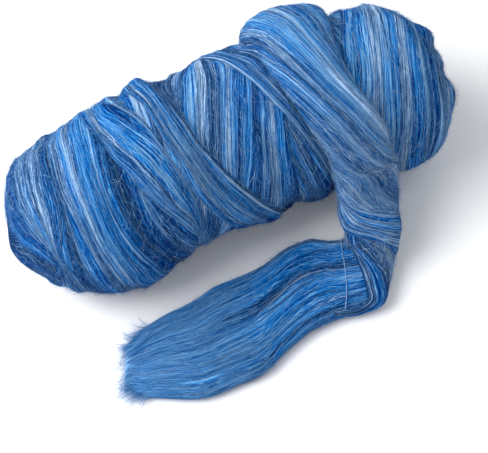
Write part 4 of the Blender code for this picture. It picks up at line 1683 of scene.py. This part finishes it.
def make_layer(name, fibres, rise, rng):
    """A layer of wool over the loose end, with a round free edge, that merges into it behind."""
    guides = np.array(fibres, float)
    rows, columns = LAYER_GRID
    across, along = np.meshgrid(np.linspace(0.0, 1.0, columns), np.linspace(0.0, 1.0, rows))
    count, steps = guides.shape[:2]
    lines = spline_rows(guides.transpose(1, 0, 2).reshape(steps, -1), along * (steps - 1))
    lines = lines.reshape(*along.shape, count, 2)
    row, angle = np.moveaxis(blend_guides(lines, across), -1, 0)
    base, outward = loose_skin(row, angle)
    width = np.linalg.norm(np.diff(base, axis=1), axis=-1).sum(1).mean()
    length = np.linalg.norm(np.diff(base, axis=0), axis=-1).sum(0).mean()
    fibre_across, fibre_along = across * width, along * length
    relief, tone, crease = fibre_relief(rng, fibre_across, fibre_along, width)
    crown = edge_round(fibre_across) * smooth_step((1.0 - across) / LAYER_BACK)
    crown = crown * smooth_step(along / LAYER_START) * smooth_step((1.0 - along) / LAYER_FINISH)
    height = (rise * crown + relief * np.minimum(1.0, LAYER_FRINGE * crown)
              - LAYER_SINK * (1.0 - crown))
    height[:, 0] -= TUCK
    points = keep_above(base + outward * height[..., None])
    # Painted shade in the creases between the layer's locks and strands
    values = {"strand": LAYER_TONE * tone, "crease": crease,
              "greyness": np.full(tone.shape, LAYER_GREYNESS)}
    return make_patch(name, points, outward, fibre_across, fibre_along, values,
                      wool(name + "_wool"))


def make_loose_strands(rng):
    """Strands over the loose end that follow its run and its twist."""
    count = int(settings().loose_strands)
    share, ends = strand_shares(LOOSE_STRAND_STEPS, LOOSE_STRAND_SLOPE)
    first = draw_column(rng, LOOSE_STRAND_START, count)
    last = np.minimum(CUT_ROW, first + draw_column(rng, LOOSE_STRAND_RUN, count))
    row = first + (last - first) * share
    begin = draw_column(rng, (0.0, 1.0), count)
    period = draw_column(rng, LOOSE_STRAND_WAVE, count)
    bend = draw_column(rng, LOOSE_STRAND_BENDS, count)
    sway = bend * np.sin(2.0 * pi * row / period + draw_column(rng, (0.0, 2.0 * pi), count))
    drift = rng.normal(0.0, LOOSE_STRAND_DRIFT, (count, 1)) * (share - 0.5)
    angle = girth_angle(begin - twist(row) + (sway + drift) / LOOSE_GIRTH)
    point, outward = loose_skin(row, angle)
    height = draw_column(rng, LOOSE_STRAND_LIFT, count) + step_height(row, angle)
    height = height - END_DROP * (1.0 - ends)
    points = keep_above(point + outward * height[..., None], STRAND_GROUND_GAP)
    radii = strand_radii(rng, LOOSE_STRAND_RADIUS, count, ends)
    return make_tubes("loose_strands", points, radii, rng.uniform(*STRAND_TONES, count),
                      wool("strand_wool"), STRAND_SIDES, LOOSE_STRAND_SHIFT)


def make_tip_wisps(rng):
    """Fibres that run on past the cut tip and spread out on the ground."""
    count = int(settings().tip_wisps)
    share = np.linspace(0.0, 1.0, WISP_STEPS)
    past = np.maximum(0.0, (share - WISP_LAID) / (1.0 - WISP_LAID))
    angle = draw_column(rng, WISP_ANGLES, count)
    first = draw_column(rng, WISP_START, count)
    leave = draw_column(rng, WISP_LEAVE, count)
    beyond = WISP_LEAST + WISP_BEYOND * draw_column(rng, (0.0, 1.0), count) ** WISP_POWER
    row = first + (leave - first) * np.minimum(share / WISP_LAID, 1.0)
    point, outward = loose_skin(row, angle)
    _, side, _, travel, _, _ = loose_frame(leave)
    spread = rng.normal(0.0, WISP_SPREAD, (count, 1))
    bend = rng.normal(0.0, WISP_BEND, (count, 1))
    sideways = spread * past + bend * past * past
    points = point + outward * (WISP_HEIGHT * (1.0 - past))[..., None]
    points = points + travel * (beyond * past)[..., None]
    points = points + unit(side) * (beyond * sideways)[..., None]
    lift = WISP_GAP + draw_column(rng, WISP_LIFT, count) * past
    points[..., 2] = points[..., 2] * (1.0 - WISP_FALL * past) + lift
    radii = draw_column(rng, WISP_RADIUS, count) * (1.0 - WISP_THINNING * share)
    tone = rng.uniform(*WISP_TONES, count)
    return make_ribbons("tip_wisps", points, radii, tone, wool("strand_wool"), rng, CLEAR_HAIRS)


def make_thread():
    """The thin tie thread over the laid stretch: two plies turned round each other."""
    share = np.linspace(0.0, 1.0, PLY_STEPS)
    row = THREAD_ROWS[0] + share * (THREAD_ROWS[1] - THREAD_ROWS[0])
    angle = THREAD_ANGLES[0] + share * (THREAD_ANGLES[1] - THREAD_ANGLES[0])
    point, outward = loose_skin(row, angle)
    middle = point + outward * PLY_HEIGHT
    side = unit(np.cross(np.gradient(middle, axis=0), outward))
    plies = []
    for phase in (0.0, pi):
        turn = (2.0 * pi * share * PLY_TURNS + phase)[:, None]
        plies.append(middle + (outward * np.cos(turn) + side * np.sin(turn)) * PLY_OFFSET)
    return make_tubes("tie_thread_plies", np.stack(plies), np.full((2, PLY_STEPS), PLY_RADIUS),
                      np.zeros(2), make_thread_ply(), PLY_SIDES)


def make_thread_ply():
    """The thread's pale twisted fibres."""
    shader = Shader("thread_ply")
    fibres = shader.add("ShaderNodeUVMap", {"uv_map": "fibre"})
    grain = shader.streaks(fibres, *PLY_GRAIN)
    color = shader.ramp(grain, list(zip(PLY_EDGES, (tones().sky, tones().thread))))
    normal = shader.add("ShaderNodeBump", None, Strength=PLY_BUMP, Distance=PLY_BUMP_DEPTH,
                        Height=grain)
    return shader.surface(Base_Color=color, Normal=normal, Roughness=PLY_ROUGHNESS)


def rise_hairs(rng, count):
    """How far hairs run, stray and rise from the wool, along each."""
    share = np.linspace(0.0, 1.0, HAIR_STEPS)
    reach = draw_column(rng, HAIR_REACH, count)
    rise = draw_column(rng, HAIR_RISE, count) ** 2 * HAIR_HEIGHT
    curl = rng.normal(0.0, 1.0, (count, 1)) * HAIR_CURL
    slant = rng.normal(0.0, HAIR_SLANT, (count, 1))
    back = np.where(draw_column(rng, (0.0, 1.0), count) < 0.5, -1.0, 1.0)
    arched = draw_column(rng, (0.0, 1.0), count) < ARCHED_HAIRS
    lift = np.where(arched, np.sin(pi * share), share**HAIR_LIFT_POWER)
    return reach * share * back, reach * (slant * share + curl * share * share), rise * lift


def roll_hairs(rng):
    """Paths of the fine hairs that rise off the roll."""
    count = int(settings().roll_hairs)
    place = draw_column(rng, (ROLL_HAIR_MARGIN, MERIDIAN_LENGTH - ROLL_HAIR_MARGIN), count)
    angle = draw_column(rng, ROLL_HAIR_ANGLES, count)
    run, aside, rise = rise_hairs(rng, count)
    place, angle = place + aside, angle - np.degrees(run / MEAN_RADIUS)
    height = wound_height(place, angle, len(ALL_BANDS)) - under_skin(place) + ROLL_HAIR_BASE
    point, outward = skin_and_normal(place, angle)
    return point + outward * (height + rise)[..., None]


def loose_hairs(rng):
    """Fine hairs that rise off the loose end: their paths, tones and greyness."""
    count = int(settings().loose_hairs)
    in_twist = rng.random(count) < TWIST_HAIRS
    row = np.where(in_twist[:, None], draw_column(rng, TWIST_HAIR_ROWS, count),
                   draw_column(rng, LOOSE_HAIR_ROWS, count))
    share = draw_column(rng, LOOSE_HAIR_SHARES, count)
    run, aside, rise = rise_hairs(rng, count)
    at_row = np.clip(row + run / ROW_LENGTH, LOOSE_HAIR_FIRST, CUT_ROW)
    angle = girth_angle(share - (twist(at_row) - twist(row)) + aside / LOOSE_GIRTH)
    point, outward = loose_skin(at_row, angle)
    height = LOOSE_HAIR_BASE + step_height(at_row, angle) + rise
    tone = rng.uniform(*HAIR_TONES, count) + TWIST_HAIR_LIGHT * in_twist
    laid = smooth_step((row[:, 0] - CLEAR_FROM_ROW) / CLEAR_RUN_IN)
    greyness = CLEAR_HAIRS * laid + TWIST_HAIR_GREYNESS * in_twist
    return point + outward * height[..., None], tone, greyness


def make_fuzz(name, paths, rng, tone=None, dull=0.0):
    """Hairs along paths, as one piece."""
    thinning = 1.0 - HAIR_THINNING * np.linspace(0.0, 1.0, HAIR_STEPS)
    radii = draw_column(rng, HAIR_RADIUS, len(paths)) * thinning
    tone = rng.uniform(*HAIR_TONES, len(paths)) if tone is None else tone
    return make_ribbons(name, keep_above(paths, HAIR_GROUND_GAP), radii, tone,
                        wool("hair_wool"), rng, dull)


# ---------------- settings


def shade_property(name, description, default):
    return bpy.props.FloatVectorProperty(name=name, description=description, subtype="COLOR",
                                         size=3, min=0.0, max=1.0, default=default)


def length_property(name, description, default, low, high):
    return bpy.props.FloatProperty(name=name, description=description, default=default,
                                   min=low, max=high, subtype="DISTANCE", unit="LENGTH")


def count_property(name, description, default):
    return bpy.props.IntProperty(name=name, description=description, default=default, min=1)


class RovingForm(bpy.types.PropertyGroup):
    """Sizes and counts of the roving's strands."""

    lock_width: length_property("Lock width", "Width of one lock of fibres", 0.0034,
                                0.002, 0.01)
    strand_width: length_property("Strand width", "Width of one strand of fibres", 0.0011,
                                  0.0005, 0.004)
    strands_per_wrap: count_property("Strands per wrap", "Proud strands on each wrap", 55)
    loose_strands: count_property("Loose strands", "Proud strands on the loose end", 320)
    tip_wisps: count_property("Tip wisps", "Fibres that run past the tip", 2500)
    roll_hairs: count_property("Roll hairs", "Fine hairs on the roll", 19000)
    loose_hairs: count_property("Loose hairs", "Fine hairs on the loose end", 11000)


class RovingTones(bpy.types.PropertyGroup):
    """Dyed shades of the wool, from dark to pale."""

    deep: shade_property("Deep", "Darkest clear blue", (0.0004, 0.024, 0.124))
    dark: shade_property("Dark", "Dark clear blue", (0.0006, 0.054, 0.226))
    middle: shade_property("Middle", "Main clear blue", (0.0022, 0.094, 0.348))
    sky: shade_property("Sky", "Sky blue", (0.0070, 0.150, 0.448))
    light: shade_property("Light", "Light clear blue", (0.034, 0.210, 0.488))
    pale: shade_property("Pale", "Palest clear blue", (0.155, 0.325, 0.545))
    ink: shade_property("Ink", "Darkest greyer blue", (0.0045, 0.027, 0.089))
    dusk: shade_property("Dusk", "Dark greyer blue", (0.0125, 0.056, 0.153))
    slate: shade_property("Slate", "Main greyer blue", (0.040, 0.104, 0.240))
    lavender: shade_property("Lavender", "Lavender blue", (0.072, 0.157, 0.318))
    mist: shade_property("Mist", "Light greyer blue", (0.110, 0.217, 0.385))
    cloud: shade_property("Cloud", "Palest greyer blue", (0.330, 0.450, 0.590))
    thread: shade_property("Thread", "Shade of the tie thread", (0.38, 0.52, 0.72))


class RovingStudio(bpy.types.PropertyGroup):
    """Floor and light."""

    floor_size: length_property("Floor size", "Side of the floor", 6.0, 1.0, 20.0)
    key_power: bpy.props.FloatProperty(name="Key power", description="Power of the soft key",
                                       default=22.2, min=0.0, unit="POWER")
    sky_power: bpy.props.FloatProperty(name="Surround", description="Strength of the surround",
                                       default=0.76, min=0.0)


# ---------------- operators

# Seeds of the pieces' random draws
INNER_SEED = 11
OUTER_SEED = 23
STRAND_SEED = 31
LOOSE_SEED = 47
FUZZ_SEED = 59
# The floor's paper, just under the roll, the surround's colour and the key's side in metres
FLOOR_LEVEL = -0.0001
PAPER_GRAIN = 40.0
PAPER_SHADES = [(0.3, grey(0.86)), (0.7, grey(0.88))]
PAPER_ROUGHNESS = 0.9
PAPER_SPECULAR = 0.1
SURROUND_COLOR = (0.94, 0.96, 1.0, 1.0)
KEY_SIDE = 1.0


class ROVING_OT_wound_core(bpy.types.Operator):
    """Make the closed form under the wraps"""

    bl_idname = "roving.wound_core"
    bl_label = "Wound Core"

    def execute(self, context):
        ride_as(make_core(), "wound_wool", "wound_roll")
        return {"FINISHED"}


class ROVING_OT_inner_wraps(bpy.types.Operator):
    """Make the first turns of the winding and the loops over the ends"""

    bl_idname = "roving.inner_wraps"
    bl_label = "Inner Wraps"

    def execute(self, context):
        rng = np.random.default_rng(INNER_SEED)
        hoops = [(f"inner_hoop_{i}", f"hoop_wool_{i}", 0.0) for i in range(len(HOOP_BANDS))]
        # The loops are darkened as painted shade
        loops = [(f"end_loop_{i}", f"loop_wool_{i}", LOOP_PAINTED_SHADE) for i in range(len(LOOP_BANDS))]
        wind_bands(rng, 0, hoops, HOOP_PATTERN, HOOP_GRID)
        wind_bands(rng, len(hoops), loops, LOOP_PATTERN, LOOP_GRID)
        return {"FINISHED"}


class ROVING_OT_outer_wraps(bpy.types.Operator):
    """Make the crossing wraps that show on the roll"""

    bl_idname = "roving.outer_wraps"
    bl_label = "Outer Wraps"

    def execute(self, context):
        rng = np.random.default_rng(OUTER_SEED)
        # Painted light and shade: some wraps are made darker towards the left end and lighter at the
        # right
        wraps = [(f"wrap_{name}", f"{name}_wool", WRAP_PALENESS_AND_PAINTED_LIGHT.get(name, 0.0)) for name in WRAP_BANDS]
        wind_bands(rng, FIRST_WRAP, wraps, WRAP_PATTERN, WRAP_GRID)
        return {"FINISHED"}


class ROVING_OT_wrap_strands(bpy.types.Operator):
    """Make the single strands over the wraps"""

    bl_idname = "roving.wrap_strands"
    bl_label = "Wrap Strands"

    def execute(self, context):
        ride_as(make_roll_strands(np.random.default_rng(STRAND_SEED)), "wound_wool")
        return {"FINISHED"}


class ROVING_OT_loose_end(bpy.types.Operator):
    """Make the loose end, its strands, its wispy tip and the tie thread"""

    bl_idname = "roving.loose_end"
    bl_label = "Loose End"

    def execute(self, context):
        rng = np.random.default_rng(LOOSE_SEED)
        sheet = ride_as(make_loose_end(rng), "loose_wool", "loose_end")
        fold = ride_as(make_layer("loose_fold", FOLD_FIBRES, FOLD_RISE, rng), "loose_wool")
        turn = ride_as(make_layer("loose_turn", TURN_FIBRES, TURN_RISE, rng), "loose_wool")
        strands = ride_as(make_loose_strands(rng), "loose_wool")
        wisps = ride_as(make_tip_wisps(rng), "loose_wool")
        thread = ride_as(make_thread(), "thread", "tie_thread")
        return {"FINISHED"}


class ROVING_OT_fuzz(bpy.types.Operator):
    """Make the fine hairs that arch off the wool"""

    bl_idname = "roving.fuzz"
    bl_label = "Fuzz"

    def execute(self, context):
        rng = np.random.default_rng(FUZZ_SEED)
        ride_as(make_fuzz("roll_fuzz", roll_hairs(rng), rng), "wound_wool")
        paths, tone, dull = loose_hairs(rng)
        ride_as(make_fuzz("loose_fuzz", paths, rng, tone, dull), "loose_wool")
        return {"FINISHED"}


class ROVING_OT_studio(bpy.types.Operator):
    """Make the floor, the soft light and the camera"""

    bl_idname = "roving.studio"
    bl_label = "Studio"

    def execute(self, context):
        studio = context.scene.roving_studio
        link = context.scene.collection.objects.link
        half = studio.floor_size / 2.0
        mesh = bpy.data.meshes.new("floor")
        corners = [(-half, -half), (half, -half), (half, half), (-half, half)]
        mesh.from_pydata([(*corner, FLOOR_LEVEL) for corner in corners], [], [(0, 1, 2, 3)])
        floor = bpy.data.objects.new("floor", mesh)
        link(floor)
        shader = Shader("floor_paper")
        grain = shader.add("ShaderNodeTexNoise", None, Scale=PAPER_GRAIN, Detail=2.0)
        color = shader.ramp(grain, PAPER_SHADES)
        mesh.materials.append(shader.surface(Base_Color=color, Roughness=PAPER_ROUGHNESS,
                                             Specular_IOR_Level=PAPER_SPECULAR))

        world = bpy.data.worlds.new("surround")
        world.use_nodes = True
        background = world.node_tree.nodes["Background"]
        background.inputs["Color"].default_value = SURROUND_COLOR
        background.inputs["Strength"].default_value = studio.sky_power
        context.scene.world = world

        light = bpy.data.lights.new("key", "AREA")
        light.shape = "RECTANGLE"
        light.size, light.size_y = KEY_SIDE, KEY_SIDE
        light.energy = studio.key_power
        key = bpy.data.objects.new("key", light)
        key.location = KEY_PLACE
        key.rotation_euler = (Vector(KEY_AIM) - Vector(KEY_PLACE)).to_track_quat(
            "-Z", "Y").to_euler()
        link(key)

        data = bpy.data.cameras.new("camera")
        data.sensor_fit = "HORIZONTAL"
        data.sensor_width = CAMERA_SENSOR
        data.lens = CAMERA_LENS
        camera = bpy.data.objects.new("camera", data)
        turn, tilt = radians(CAMERA_TURN), radians(CAMERA_TILT)
        forward = Vector((np.sin(turn) * np.cos(tilt), np.cos(turn) * np.cos(tilt),
                          -np.sin(tilt)))
        right = Vector((np.cos(turn), -np.sin(turn), 0.0))
        axes = Matrix((right, right.cross(forward), -forward)).transposed()
        camera.matrix_world = Matrix.Translation(CAMERA_PLACE) @ axes.to_4x4()
        link(camera)
        context.scene.camera = camera
        context.scene.view_settings.view_transform = "Standard"
        return {"FINISHED"}


class ROVING_PT_panel(bpy.types.Panel):
    """The roving's steps, in order"""

    bl_label = "Wool Roving"
    bl_idname = "ROVING_PT_panel"
    bl_space_type = "VIEW_3D"
    bl_region_type = "UI"
    bl_category = "Roving"

    def draw(self, context):
        for group in ("roving_form", "roving_tones", "roving_studio"):
            box = self.layout.box()
            properties = getattr(context.scene, group)
            for name in properties.__annotations__:
                box.prop(properties, name)
        for operator in OPERATORS:
            self.layout.operator(operator.bl_idname)


OPERATORS = (
    ROVING_OT_wound_core,
    ROVING_OT_inner_wraps,
    ROVING_OT_outer_wraps,
    ROVING_OT_wrap_strands,
    ROVING_OT_loose_end,
    ROVING_OT_fuzz,
    ROVING_OT_studio,
)
GROUPS = {"roving_form": RovingForm, "roving_tones": RovingTones, "roving_studio": RovingStudio}


def register():
    for group in GROUPS.values():
        bpy.utils.register_class(group)
    for name, group in GROUPS.items():
        setattr(bpy.types.Scene, name, bpy.props.PointerProperty(type=group))
    for operator in OPERATORS:
        bpy.utils.register_class(operator)
    bpy.utils.register_class(ROVING_PT_panel)


def unregister():
    bpy.utils.unregister_class(ROVING_PT_panel)
    for operator in reversed(OPERATORS):
        bpy.utils.unregister_class(operator)
    for name in GROUPS:
        delattr(bpy.types.Scene, name)
    for group in reversed(GROUPS.values()):
        bpy.utils.unregister_class(group)


def main():
    """Builds every part of the scene in order."""
    register()
    bpy.ops.roving.wound_core()
    bpy.ops.roving.inner_wraps()
    bpy.ops.roving.outer_wraps()
    bpy.ops.roving.wrap_strands()
    bpy.ops.roving.loose_end()
    bpy.ops.roving.fuzz()
    bpy.ops.roving.studio()


if __name__ == "__main__":
    main()
